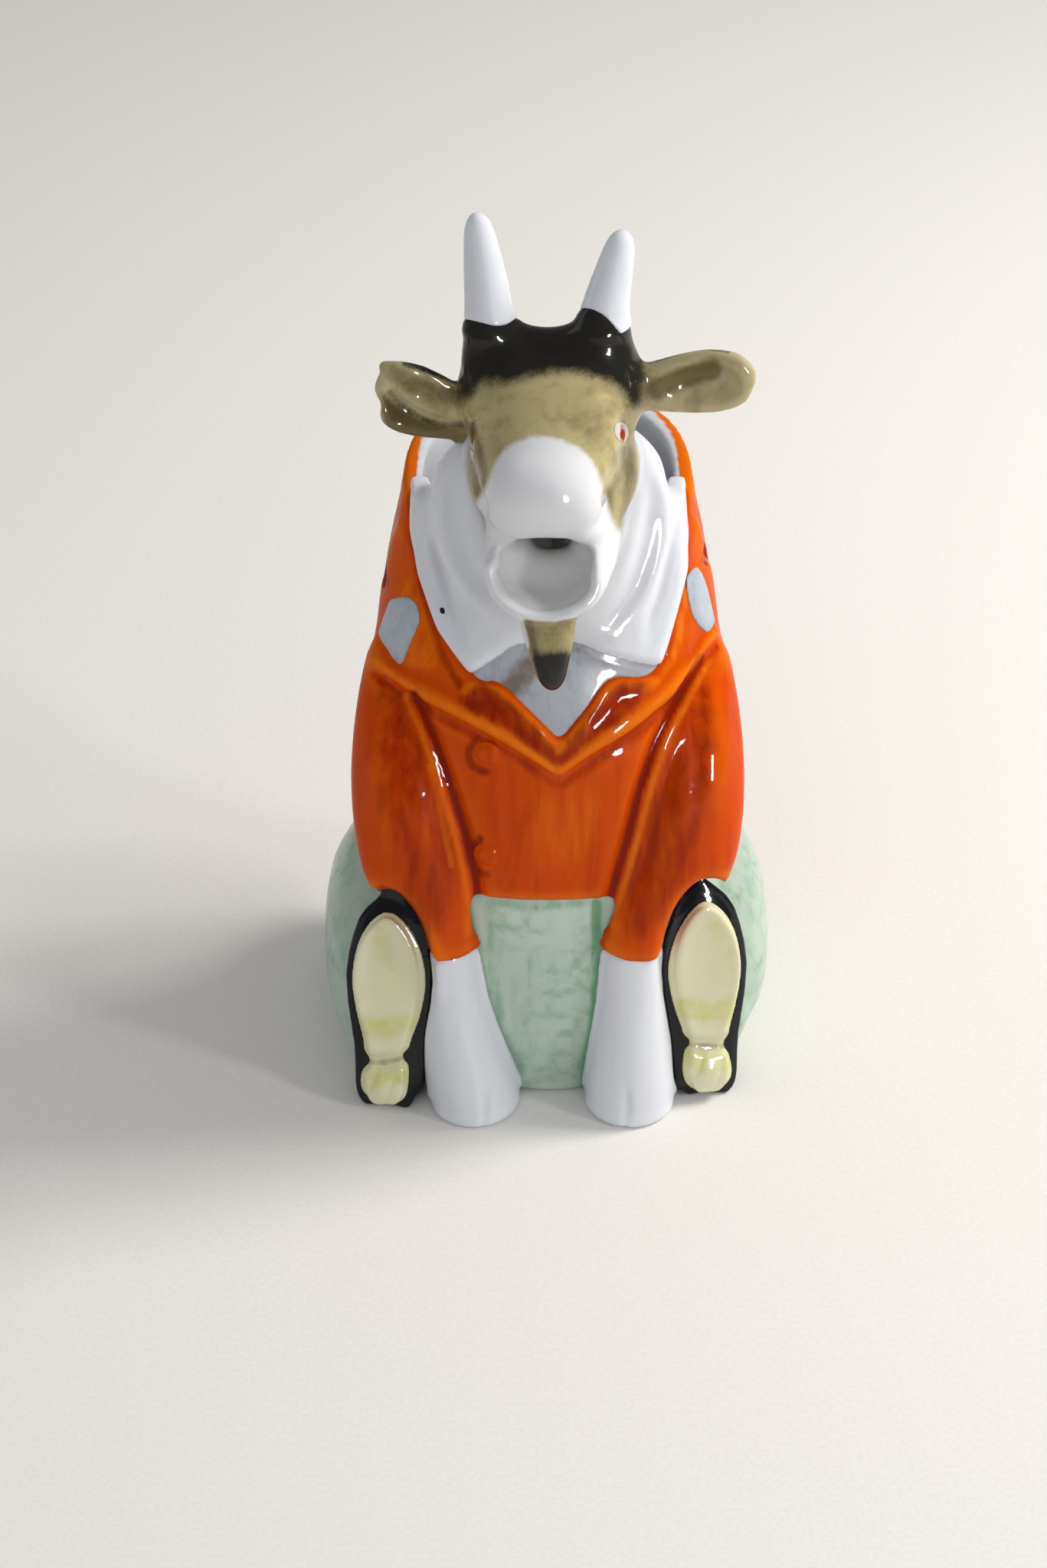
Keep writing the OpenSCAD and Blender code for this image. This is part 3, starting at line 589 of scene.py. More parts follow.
    def slope(self, points: np.ndarray) -> np.ndarray:
        """Finds the directions out of the form at places on its surface.

        Args:
            points: Places, one row of three each.

        Returns:
            Unit directions, one row of three each.
        """
        out = np.empty_like(points)
        for a in range(3):
            off = np.zeros(3)
            off[a] = 0.8 * self.step
            out[:, a] = self.sample(points + off) - self.sample(points - off)
        return out / np.maximum(np.linalg.norm(out, axis=1, keepdims=True), 1e-9)

    def seen(self, spots: list, lift: float = 0.0) -> np.ndarray:
        """Places on the form that are seen at spots of the frame.

        Args:
            spots: Pixel positions in the frame.
            lift: How far out of the surface the places are moved.

        Returns:
            One place per spot, on the first surface that its ray meets, or nearest to the ray.
        """
        spots = np.asarray(spots, dtype=float)
        way = LENS.rays(spots)
        eye = np.array(LENS.place)
        low = self.start * self.step
        high = low + (np.array(self.shape) - 1) * self.step
        far = np.linalg.norm((low + high) / 2 - eye)
        half = np.linalg.norm(high - low) / 2
        t = np.full(len(spots), far - half)
        best, best_t = np.full(len(spots), np.inf), t.copy()
        for _ in range(self.marches):
            p = eye + t[:, None] * way
            outside = np.any((p < low) | (p > high), axis=1)
            d = np.where(outside, 1.0, self.sample(p))
            better = d < best
            best, best_t = np.where(better, d, best), np.where(better, t, best_t)
            on = np.minimum(t + np.maximum(self.stride * d, self.touch), far + half)
            t = np.where(best < self.touch, t, on)
        p = eye + best_t[:, None] * way
        return p + lift * self.slope(p)

    def shell(self) -> Shell:
        """Meshes the surface of the form.

        Returns:
            The surface, with its directions and with how far it lies below or above its surroundings.
        """
        grid = vdb.FloatGrid(BAND)
        grid.transform = self.grid
        grid.copyFromArray(self.d, ijk=tuple(int(i) for i in self.start))
        points, tris, quads = grid.convertToPolygons(isovalue=0.0, adaptivity=0.0)
        points = np.asarray(points, dtype=float)
        faces = np.asarray(quads, dtype=np.int64)
        if len(tris):
            faces = np.vstack([faces, np.asarray(tris, dtype=np.int64)[:, [0, 1, 2, 2]]])
        normals = self.slope(points)
        p = points[faces]
        out = np.cross(p[:, 2] - p[:, 0], p[:, 3] - p[:, 1])
        if np.einsum("ij,ij->", out, normals[faces[:, 0]]) < 0:
            faces = faces[:, ::-1]
        ridge = self.sample(points, self.blur(self.own, self.around))
        return Shell(points, normals, faces, ridge)


class Kind(Enum):
    """Kinds of node: type, inputs in the order in which they are given, output, and settings."""

    MIX = ("ShaderNodeMix", (0, 6, 7), 2, {"data_type": "RGBA"})
    SPAN = ("ShaderNodeMapRange", (0, 1, 2, 4), 0, {"interpolation_type": "SMOOTHSTEP"})
    SUM = ("ShaderNodeMath", (0, 1), 0, {"operation": "ADD"})
    LESS = ("ShaderNodeMath", (0, 1), 0, {"operation": "SUBTRACT"})
    TIMES = ("ShaderNodeMath", (0, 1), 0, {"operation": "MULTIPLY"})
    PER = ("ShaderNodeMath", (0, 1), 0, {"operation": "DIVIDE"})
    POWER = ("ShaderNodeMath", (0, 1), 0, {"operation": "POWER"})
    MOST = ("ShaderNodeMath", (0, 1), 0, {"operation": "MAXIMUM"})
    ABOVE = ("ShaderNodeMath", (0, 1), 0, {"operation": "GREATER_THAN"})
    ROOT = ("ShaderNodeMath", (0,), 0, {"operation": "SQRT"})
    ABSOLUTE = ("ShaderNodeMath", (0,), 0, {"operation": "ABSOLUTE"})
    FRACTION = ("ShaderNodeMath", (0,), 0, {"operation": "FRACT"})
    PAINT = ("ShaderNodeAttribute", (), "Fac", {})
    WHERE = ("ShaderNodeTexCoord", (), "Object", {})
    SCALED = ("ShaderNodeMapping", ("Vector", "Scale"), 0, {})
    NOISE = ("ShaderNodeTexNoise", ("Vector", "Scale", "Detail", "Roughness", "Distortion"), 0, {})
    X = ("ShaderNodeSeparateXYZ", (0,), 0, {})
    Y = ("ShaderNodeSeparateXYZ", (0,), 1, {})
    Z = ("ShaderNodeSeparateXYZ", (0,), 2, {})
    XYZ = ("ShaderNodeCombineXYZ", (0, 1, 2), 0, {})
    BUMP = ("ShaderNodeBump", ("Strength", "Distance", "Height"), 0, {})
    SKIN = ("ShaderNodeBsdfPrincipled", (
        "Base Color", "Roughness", "IOR", "Coat Weight", "Coat Roughness", "Normal", "Coat Normal"), 0, {})
    SURFACE = ("ShaderNodeOutputMaterial", ("Surface",), 0, {})
    GLOSSY = ("ShaderNodeLightPath", (), "Is Glossy Ray", {})
    SHINE = ("ShaderNodeBackground", ("Color", "Strength"), 0, {})
    WORLD = ("ShaderNodeOutputWorld", ("Surface",), 0, {})
    BALL = ("GeometryNodeMeshUVSphere", ("Segments", "Rings", "Radius"), 0, {})
    POSITION = ("GeometryNodeInputPosition", (), 0, {})
    MOVED = ("GeometryNodeSetPosition", ("Geometry", "Position"), 0, {})
    NAMED = ("GeometryNodeInputNamedAttribute", ("Name",), 0, {"data_type": "FLOAT_VECTOR"})
    TURNED = ("FunctionNodeAlignRotationToVector", ("Vector",), 0, {"axis": "Z"})
    LAID = ("GeometryNodeInstanceOnPoints", ("Points", "Instance", "Rotation"), 0, {})
    REALIZED = ("GeometryNodeRealizeInstances", ("Geometry",), 0, {})
    SMOOTH = ("GeometryNodeSetShadeSmooth", ("Geometry",), 0, {})
    DRESSED = ("GeometryNodeSetMaterial", ("Geometry", "Material"), 0, {})
    RESULT = ("NodeGroupOutput", (0,), 0, {})


class Graph:
    """Node tree that is filled through one function.

    Args:
        tree: The empty node tree.
    """

    def __init__(self, tree: bpy.types.NodeTree) -> None:
        """Keeps the tree."""
        self.tree = tree

    def add(self, kind: Kind, *values: object, **settings: object) -> bpy.types.NodeSocket | None:
        """Adds a node.

        Args:
            kind: Kind of the node.
            values: Constants or sockets for the kind's inputs, in their order.
            settings: Properties of the node, besides those of its kind.

        Returns:
            The output socket of its kind, or None if the node has no outputs.
        """
        type_name, inputs, out, fixed = kind.value
        node = self.tree.nodes.new(type_name)
        for key, value in {**fixed, **settings}.items():
            setattr(node, key, value)
        for key, value in zip(inputs, values):
            if isinstance(value, bpy.types.NodeSocket):
                self.tree.links.new(value, node.inputs[key])
            else:
                node.inputs[key].default_value = value
        return node.outputs[out] if node.outputs else None

    def grain(self, size: tuple[float, float, float], detail: float = 4.0,
              twist: float = 0.0) -> bpy.types.NodeSocket:
        """Pattern whose patches have a size in millimetres.

        Args:
            size: Size of a patch along x, y and z.
            detail: How many finer layers it has.
            twist: How much its patches are bent.

        Returns:
            The pattern's value, about 0.5 on average.
        """
        place = self.add(Kind.SCALED, self.add(Kind.WHERE), tuple(1.0 / (MM * s) for s in size))
        return self.add(Kind.NOISE, place, 1.0, detail, 0.55, twist)

    def smear(self, size: tuple[float, float, float], amount: float,
              twist: float = 0.0) -> bpy.types.NodeSocket:
        """Pattern about 0 that breaks up the edge of paint, as bristles or a spray do."""
        return self.add(Kind.TIMES, self.add(Kind.LESS, self.grain(size, 4.0, twist), 0.5), amount)

    def cover(self, base: bpy.types.NodeSocket, paint: str, code: str, span: tuple[float, ...],
              smear: bpy.types.NodeSocket | None = None) -> bpy.types.NodeSocket:
        """Lays a colour over another where a value of the mesh says so.

        Args:
            base: The colour below.
            paint: Name of the value.
            code: The colour on top, as "#rrggbb".
            span: Values at which the colour sets in and is full, and how much it covers at most.
            smear: Pattern that is added to the value.

        Returns:
            The colour of both.
        """
        value = self.add(Kind.PAINT, attribute_name=paint)
        if smear is not None:
            value = self.add(Kind.SUM, value, smear)
        return self.add(Kind.MIX, self.add(Kind.SPAN, value, *span), base, linear(code))


@dataclass(frozen=True)
class Glaze:
    """Enamel painted on porcelain and fired under a clear glaze.

    The clear glaze gives sharp, bright reflections. The enamel under it is laid on by brush, so
    it is streaked along the stroke, and darker in creases and paler on ridges: pooled enamel with
    painted shade in the creases and a painted sheen on the ridges.
    """

    name: str
    body: str
    # Colour in creases: pooled enamel with painted shade. Colour on ridges: thinner enamel with painted sheen.
    deep: str
    thin: str
    streak: str
    streak_size: tuple[float, float, float] = (1.8, 1.8, 14.0)
    streak_from: float = 0.46
    streak_to: float = 0.70
    streak_most: float = 0.6
    # Where the painted sheen on ridges and the painted shade in creases set in, are full, and how much they cover.
    ridges: tuple[float, float, float] = (0.025, 0.24, 0.55)
    creases: tuple[float, float, float] = (-0.02, -0.22, 0.8)
    roughness: float = 0.3
    dull: tuple[float, float, float] = (0.4, 0.8, 0.1)
    dull_size: tuple[float, float, float] = (1.6, 1.6, 1.6)
    ripple: float = 0.12
    wave_height: float = 0.6
    wave_size: tuple[float, float, float] = (3.4, 3.4, 3.4)
    fine_share: float = 0.12
    fine_size: tuple[float, float, float] = (1.1, 1.1, 1.1)
    ior: float = 1.2
    coat: float = 0.4
    coat_roughness: float = 0.03

    def colour(self, g: Graph) -> bpy.types.NodeSocket:
        """Makes the colour of the enamel, with its painted shade and sheen, before anything is painted over it.

        Args:
            g: Tree that the nodes are added to.

        Returns:
            The colour.
        """
        brush = g.grain(self.streak_size, 4.0, 0.5)
        streaks = g.add(Kind.SPAN, brush, self.streak_from, self.streak_to, self.streak_most)
        base = g.add(Kind.MIX, streaks, linear(self.body), linear(self.streak))
        # Painted sheen on the ridges and painted shade in the creases, over the enamel's pooling.
        base = g.cover(base, "ridge", self.thin, self.ridges)
        return g.cover(base, "ridge", self.deep, self.creases)

    def over(self, g: Graph, base: bpy.types.NodeSocket) -> bpy.types.NodeSocket:
        """Colour of what is painted over the enamel."""
        return base

    def build(self) -> bpy.types.Material:
        """Makes the material, unless it is made already.

        Returns:
            The material.
        """
        if self.name in bpy.data.materials:
            return bpy.data.materials[self.name]
        material = bpy.data.materials.new(self.name)
        material.use_nodes = True
        material.node_tree.nodes.clear()
        g = Graph(material.node_tree)
        base = self.over(g, self.colour(g))
        fine = g.add(Kind.TIMES, g.grain(self.fine_size, 1.0), self.fine_share)
        waves = g.add(Kind.SUM, g.grain(self.wave_size, 1.0), fine)
        bump = g.add(Kind.BUMP, self.ripple, self.wave_height * MM, waves)
        dull = g.add(Kind.SPAN, g.grain(self.dull_size), *self.dull)
        rough = g.add(Kind.SUM, dull, self.roughness)
        g.add(Kind.SURFACE, g.add(Kind.SKIN, base, rough, self.ior, self.coat, self.coat_roughness, bump, bump))
        return material


@dataclass(frozen=True)
class CoatGlaze(Glaze):
    """Orange enamel in visible brush strokes, with painted shade and a painted sheen; the inside of the jug has
    the white glaze alone.
    """

    lining: str = "#ccd0d8"
    # Colour of the darker patches on the lapels and sleeves, and of the painted shade in seams, notches, under
    # edges and beside the buttons.
    dark: str = "#7e1601"
    # Colour of the painted sheen along ridges and edges.
    light: str = "#e8780e"

    def over(self, g: Graph, base: bpy.types.NodeSocket) -> bpy.types.NodeSocket:
        """Adds darker patches with painted shade, and a painted sheen, and leaves the inside white.

        Args:
            g: Tree that the nodes are added to.
            base: Colour of the enamel.

        Returns:
            The colour with the painted shade and the painted sheen.
        """
        drag = g.smear((1.3, 1.3, 11.0), 0.9, 0.4)
        # Darker patches and painted shade.
        base = g.cover(base, "dark", self.dark, (0.15, 0.95, 0.9), drag)
        # Painted sheen.
        base = g.cover(base, "light", self.light, (0.15, 0.95, 0.85), drag)
        return g.cover(base, "inside", self.lining, (0.45, 0.55))


@dataclass(frozen=True)
class PlaidGlaze(Glaze):
    """Thin mint wash with a plaid of green hatching; the inside has the white glaze alone."""

    lining: str = "#ccd0d8"
    # Green of the plaid, and of the painted shade under the hem and beside the forelegs.
    green: str = "#4a8a5e"
    hatch: float = 3.4
    hatch_line: tuple[float, float, float] = (0.34, 0.04, 0.8)
    wander: float = 2.4
    dry: tuple[float, float] = (0.3, 0.7)
    patch: tuple[float, float] = (0.36, 0.62)
    plaid: float = 0.55

    def band(self, g: Graph, axis: Kind) -> bpy.types.NodeSocket:
        """Hatches thin lines square to an axis, broken up as a dry brush breaks them.

        Args:
            g: Tree that the lines are added to.
            axis: Node that picks the axis.

        Returns:
            How much of a line there is.
        """
        wander = g.add(Kind.TIMES, g.grain((4.0, 4.0, 4.0), 3.0), self.wander * MM)
        run = g.add(Kind.PER, g.add(Kind.SUM, g.add(axis, g.add(Kind.WHERE)), wander), self.hatch * MM)
        wave = g.add(Kind.ABSOLUTE, g.add(Kind.LESS, g.add(Kind.FRACTION, run), 0.5))
        dry = g.add(Kind.SPAN, g.grain((1.6, 1.6, 1.6)), *self.dry)
        return g.add(Kind.TIMES, g.add(Kind.SPAN, wave, *self.hatch_line), dry)

    def over(self, g: Graph, base: bpy.types.NodeSocket) -> bpy.types.NodeSocket:
        """Adds the plaid and the darker green with its painted shade, and leaves the inside white.

        Args:
            g: Tree that the nodes are added to.
            base: Colour of the wash.

        Returns:
            The colour with the plaid.
        """
        lines = g.add(Kind.MOST, self.band(g, Kind.X), self.band(g, Kind.Z))
        patch = g.add(Kind.SPAN, g.grain((7.0, 7.0, 7.0), 3.0), *self.patch)
        plaid = g.add(Kind.TIMES, g.add(Kind.TIMES, lines, patch), self.plaid)
        base = g.add(Kind.MIX, plaid, base, linear(self.green))
        # Darker green, mostly painted shade.
        base = g.cover(base, "green", self.green, (0.15, 1.0, 0.85), g.smear((0.9, 0.9, 4.0), 1.0, 0.4))
        return g.cover(base, "inside", self.lining, (0.45, 0.55))


@dataclass(frozen=True)
class SpeckGlaze(Glaze):
    """White glaze with a dark speck from the kiln."""

    soot: str = "#17161a"

    def over(self, g: Graph, base: bpy.types.NodeSocket) -> bpy.types.NodeSocket:
        """Adds the speck."""
        return g.cover(base, "speck", self.soot, (0.35, 0.6))


@dataclass(frozen=True)
class ShirtGlaze(Glaze):
    """Thin grey wash, with a brown shade under the collar."""

    shade: str = "#6b5a4a"

    def over(self, g: Graph, base: bpy.types.NodeSocket) -> bpy.types.NodeSocket:
        """Adds the shade."""
        return g.cover(base, "shade", self.shade, (0.1, 1.0, 0.85), g.smear((1.2, 1.2, 1.2), 0.8))


@dataclass(frozen=True)
class SoleGlaze(Glaze):
    """Cream enamel with patches of yellow, and a brown line before the heel."""

    yellow: str = "#c4c463"
    brown: str = "#75622c"

    def over(self, g: Graph, base: bpy.types.NodeSocket) -> bpy.types.NodeSocket:
        """Adds the patches and the line.

        Args:
            g: Tree that the nodes are added to.
            base: Colour of the enamel.

        Returns:
            The colour with both.
        """
        drag = g.smear((2.0, 2.0, 2.0), 0.9)
        base = g.cover(base, "yellow", self.yellow, (0.1, 1.0, 0.9), drag)
        return g.cover(base, "brown", self.brown, (0.15, 0.9, 0.8), drag)


@dataclass(frozen=True)
class EyeGlaze(Glaze):
    """White dab with a red brown pupil."""

    iris: str = "#a83c20"

    def over(self, g: Graph, base: bpy.types.NodeSocket) -> bpy.types.NodeSocket:
        """Adds the pupil."""
        return g.cover(base, "pupil", self.iris, (-0.08, 0.1))


@dataclass(frozen=True)
class HeadGlaze(Glaze):
    """Sprayed enamels of the head: taupe, with a black crown and a bare white muzzle."""

    black: str = "#0a0b11"
    white: str = "#d8d9dc"
    # Brown of the random patches and of the brown strokes, some of which are painted shade.
    umber_and_shade: str = "#62532f"
    patch: tuple[float, float, float] = (0.48, 0.78, 0.5)

    def over(self, g: Graph, base: bpy.types.NodeSocket) -> bpy.types.NodeSocket:
        """Lays umber patches, the brown with its painted shade, the white and the black over the taupe, with the
        speckled edge of a spray.

        Args:
            g: Tree that the nodes are added to.
            base: The taupe.

        Returns:
            The colour of the whole head.
        """
        patch = g.add(Kind.SPAN, g.grain((5.0, 5.0, 5.0), 5.0, 0.8), *self.patch)
        base = g.add(Kind.MIX, patch, base, linear(self.umber_and_shade))
        speckle = g.add(Kind.SUM, g.smear((0.35, 0.35, 0.35), 0.35), g.smear((2.2, 2.2, 2.2), 0.6))
        # Brown strokes, partly painted shade.
        base = g.cover(base, "brown", self.umber_and_shade, (0.1, 0.95, 0.9), speckle)
        base = g.cover(base, "white", self.white, (0.2, 0.8), speckle)
        return g.cover(base, "black", self.black, (0.15, 0.85, 0.97), speckle)


# Orange enamel, thinly brushed: warm, streaky and nearly matt, with a painted sheen on its folds.
ORANGE = CoatGlaze("orange_enamel_on_porcelain", "#c64402", "#6a1601", "#e8780e", "#a22c02",
                   streak_size=(2.6, 2.6, 18.0), streak_most=0.42, ior=1.05, coat=0.16)
# Green wash: so thin that the white body shows through, glossy, with greener lines.
MINT = PlaidGlaze("mint_wash_on_porcelain", "#aebfb2", "#728c7a", "#c6d3ca", "#94b29e",
                  streak_size=(2.4, 2.4, 6.0), streak_most=0.5)
# Clear glaze on the bare white body: cool, bright and the glossiest, with painted grey shade in the creases.
WHITE = SpeckGlaze("white_glaze_on_porcelain", "#d2d5dc", "#a3a3ab", "#dee1e7", "#c9cdd6", streak_most=0.4,
                   ior=1.15, coat=0.6)
# Thick black enamel: deep, with clear reflections and hardly any streaks.
BLACK = Glaze("black_enamel_on_porcelain", "#101116", "#08080b", "#1d1e26", "#17181f", streak_most=0.5,
              ior=1.1, coat=0.5)
# Cream enamel: soft and pale, with a deeper yellow in the creases, where it lies thicker and shade is painted.
CREAM = SoleGlaze("cream_enamel_on_porcelain", "#d3d1aa", "#94865a", "#dedcc0", "#cac88e",
                  streak_size=(3.0, 3.0, 4.0), streak_most=0.5)
# Grey wash, dabbed on: dull and cloudy, brown in the shade of the collar.
SHIRT = ShirtGlaze("grey_wash_on_porcelain", "#a6abb3", "#7d7268", "#bcc1c9", "#888f99",
                   streak_size=(1.4, 1.4, 3.0), streak_most=0.7, coat=0.12)
# Grey enamel laid on thickly: short dabs that stand a little proud.
FLOWER = Glaze("grey_daub_on_porcelain", "#9aa3ad", "#6f747c", "#b4bcc6", "#7d8590",
               streak_size=(1.0, 1.0, 1.6), streak_most=0.9)
# Sprayed enamels: soft speckled edges between taupe, black and white, under a full gloss.
TAUPE = HeadGlaze("sprayed_taupe_on_porcelain", "#b3a87a", "#6a5b3b", "#bbb08f", "#978a62",
                  streak_size=(2.4, 2.4, 2.4), streak_most=0.6, ior=1.1, coat=0.5)
# White dab with a small red brown pupil, glossy.
EYE = EyeGlaze("white_eye_on_porcelain", "#c6beb2", "#a08d7c", "#d6cfc6", "#b7aa9c")


def _ranks() -> dict[str, int]:
    """Orders the nodes by how they lie on each other.

    Returns:
        The layer of every node, from the table up.
    """
    layers = (
        ("base", "trouser_seat", "leg_left", "leg_right"),
        ("hoof_left", "hoof_right", "shoe_left", "shoe_right"),
        ("coat_body", "sleeve_left", "sleeve_right", "lapel_left", "lapel_right", "handle",
         "sole_left", "sole_right"),
        ("shirt_front",),
        ("neck", "collar_left", "collar_right", "flower_left", "flower_right", "coat_buttons"),
        ("head", "ear_left", "ear_right", "beard"),
        ("horn_left", "horn_right", "eye_left", "eye_right"),
    )
    return {node: i for i, layer in enumerate(layers) for node in layer}


RANKS = _ranks()


@dataclass(frozen=True)
class Brush:
    """Stroke or patch of paint, drawn in the camera's frame in pixels."""

    line: tuple[tuple[float, float], ...]
    width: float
    amount: float = 1.0
    patch: bool = False

    def laid(self, shell: Shell) -> np.ndarray:
        """Lays the paint on a surface.

        Args:
            shell: The surface.

        Returns:
            How much of the paint lies on each point.
        """
        if self.patch:
            return self.amount * ramp(outline_distance(shell.spots, ring(self.line)), -self.width, self.width)
        gap, _ = path_distance(shell.spots, curve_through(list(self.line), 4))
        return self.amount * ramp(gap, self.width, 0.2 * self.width)


def brushed(shell: Shell, strokes: tuple[Brush, ...]) -> np.ndarray:
    """Paints several strokes on the side of a surface that faces the camera.

    Args:
        shell: The surface.
        strokes: The strokes.

    Returns:
        How much of the paint lies on each point.
    """
    most = np.zeros(len(shell.points))
    for stroke in strokes:
        most = np.maximum(most, stroke.laid(shell))
    return most * ramp(shell.facing, *IN_VIEW)


@dataclass
class Casting:
    """One piece of the jug: the nodes that it stands for, and its finish."""

    name: str
    nodes: tuple[str, ...]
    slot: str
    glaze: Glaze
    step: float = 0.3
    fine: float = 0.35
    broad: float = 1.1
    claims: tuple = ()
    gives: tuple = ()
    clay: Clay | None = None

    @property
    def fillets(self) -> dict[str, float]:
        """Width over which a node is melted to the piece's first nodes."""
        return {}

    def model(self, clay: Clay) -> None:
        """Models folds and creases into the cast form."""

    def paints(self, shell: Shell) -> dict[str, np.ndarray]:
        """Values per point that the finish reads."""
        return {}

    def form(self) -> Clay:
        """Casts the piece, models it and parts it from its neighbours.

        Returns:
            The form.
        """
        clay = Clay(self.nodes, self.step)
        clay.cast(self.nodes, self.fillets, self.fine, self.broad)
        self.model(clay)
        clay.part(self.claims, self.gives)
        return clay

    def build(self) -> bpy.types.Object:
        """Makes the piece and fits it into the frame.

        Returns:
            The finished object.
        """
        self.clay = self.form()
        shell = self.clay.shell()
        made = shell.object(self.name, self.paints(shell))
        made.data.materials.append(self.glaze.build())
        self.fit(made)
        return made

    def fit(self, made: bpy.types.Object) -> None:
        """Fits a finished object into the frame.

        Args:
            made: The object.
        """
        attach(made, "root")
        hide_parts(*self.nodes)


def lined(shell: Shell, middle_y: float, reach: tuple[float, float]) -> np.ndarray:
    """Finds the inside of the jug, where a wall faces the body's upright axis.

    Args:
        shell: Surface of the piece.
        middle_y: Place of the axis.
        reach: Distances from the axis at which the inside has ended, and up to which it is full.

    Returns:
        1 inside and 0 outside, for each point.
    """
    out = shell.points[:, :2] - np.array([0.0, middle_y])
    far = np.hypot(out[:, 0], out[:, 1])
    turn = np.einsum("ij,ij->i", out / np.maximum(far, 1e-6)[:, None], shell.normals[:, :2])
    return ramp(turn, *OFF_AXIS) * ramp(far, *reach)


@dataclass
class Coat(Casting):
    """Coat with its sleeves, lapels and handle, melted into one."""

    lapel_edges: tuple = (
        ((488, 862), (530, 893), (580, 920), (664, 965), (724, 1006)),
        ((934, 825), (889, 887), (827, 943), (777, 975), (734, 1006)),
    )
    lapel_rolls: tuple = (
        ((616, 900), (646, 900), (684, 934), (724, 974)),
        ((848, 892), (800, 896), (772, 931), (738, 973)),
    )
    sleeve_edges: tuple = (
        ((541, 905), (566, 962), (590, 1033), (611, 1106), (622, 1162), (625, 1215)),
        ((915, 858), (886, 910), (858, 965), (836, 1030), (820, 1092), (803, 1150), (786, 1205)),
    )
    sleeve_folds: tuple = (
        ((505, 905), (497, 990), (505, 1080), (530, 1150)),
        ((532, 940), (545, 1020), (562, 1100), (580, 1190)),
        ((930, 890), (938, 980), (934, 1080)),
        ((896, 930), (886, 1020), (870, 1110), (846, 1200)),
    )
    notches: tuple = (((492, 722), (499, 742), (501, 762)), ((921, 694), (925, 712), (922, 732)))
    front_edge: tuple = ((727, 1012), (731, 1080), (738, 1160))
    axis_y: float = 2.0
    lining: tuple[float, float] = (23.0, 20.5)

    @property
    def fillets(self) -> dict[str, float]:
        """Width over which a node is melted to the coat."""
        return {"sleeve_left": 1.8, "sleeve_right": 1.8, "handle": 2.4, "lapel_left": 0.6, "lapel_right": 0.6}

    def model(self, clay: Clay) -> None:
        """Models the sleeves' folds and seams, the lapels' edges and the notches.

        Args:
            clay: Form of the coat.
        """
        for line in self.sleeve_folds:
            clay.fold(line, radius=2.2, proud=0.3, fillet=1.6)
        for line in self.sleeve_edges:
            clay.crease(line, radius=1.0, depth=0.65, fillet=0.8, taper=0.5)
        for line, side in zip(self.sleeve_edges, Side):
            clay.fold([(u + side.value * 14, v + 4) for u, v in line], radius=1.2, proud=0.3, fillet=1.0)
        for line in self.lapel_edges:
            clay.fold(line, radius=1.2, proud=0.45, fillet=0.9, taper=0.35)
            clay.crease([(u, v + 17) for u, v in line], radius=1.0, depth=0.35, fillet=0.9, taper=0.4)
        for line in self.lapel_rolls:
            clay.fold(line, radius=1.1, proud=0.45, fillet=0.9, taper=0.2)
        for line in self.notches:
            clay.crease(line, radius=1.1, depth=0.9, fillet=0.7)
        clay.crease(self.front_edge, radius=0.8, depth=0.18, fillet=0.8)

    def paints(self, shell: Shell) -> dict[str, np.ndarray]:
        """Paints the darker patches with the painted shade, and the painted sheen.

        Args:
            shell: Surface of the coat.

        Returns:
            The painted shade, the painted sheen, and where the inside is.
        """
        # Painted shade in the sleeves' seams, the notches, below the lapels' edges, beside the collar and on the
        # left of the buttons; darker patches on the lapels and the sleeves.
        dark = brushed(shell, (
            Brush(((612, 900), (645, 897), (728, 978), (722, 1000), (664, 958), (600, 922)), 9, 0.75, patch=True),
            Brush(((802, 894), (845, 890), (826, 932), (777, 966), (734, 1000), (732, 979)), 9, 0.75, patch=True),
            Brush(((490, 900), (530, 910), (556, 965), (580, 1040), (600, 1110), (590, 1200), (545, 1230),
                   (515, 1150), (492, 1040)), 16, 0.55, patch=True),
            Brush(((928, 870), (900, 900), (872, 960), (846, 1040), (826, 1100), (805, 1180), (830, 1235),
                   (880, 1180), (915, 1090), (935, 980)), 16, 0.55, patch=True),
            *[Brush(line, 9, 1.0) for line in self.sleeve_edges],
            *[Brush(line, 10, 1.0) for line in self.notches],
            *[Brush(tuple((u, v + 20) for u, v in line), 10, 0.5) for line in self.lapel_edges],
            Brush(((540, 700), (556, 781), (573, 846), (600, 894)), 11, 0.6),
            Brush(((890, 703), (875, 790), (853, 880)), 9, 0.5),
            Brush(((624, 964), (612, 980), (616, 1000), (634, 1008)), 10, 0.75),
            Brush(((626, 1096), (613, 1114), (618, 1134), (636, 1142)), 11, 0.75),
        ))
        # Painted sheen: highlights along the lapels' edges and the sleeves' edges, and paler patches on the chest
        # and by the shoulders.
        light = brushed(shell, (
            *[Brush(line, 7, 0.6) for line in self.lapel_edges],
            *[Brush(tuple((u + 12 * s.value, v + 4) for u, v in line), 8, 0.55)
              for line, s in zip(self.sleeve_edges, Side)],
            Brush(((560, 1000), (575, 1060), (590, 1130)), 9, 0.5),
            Brush(((690, 1030), (780, 1030), (790, 1100), (750, 1150), (690, 1140)), 40, 0.4, patch=True),
            Brush(((510, 860), (560, 880), (575, 850), (540, 760), (520, 770)), 10, 0.5, patch=True),
            Brush(((895, 740), (885, 840), (860, 890)), 10, 0.5),
        ))
        return {"inside": lined(shell, self.axis_y, self.lining), "dark": dark, "light": light}


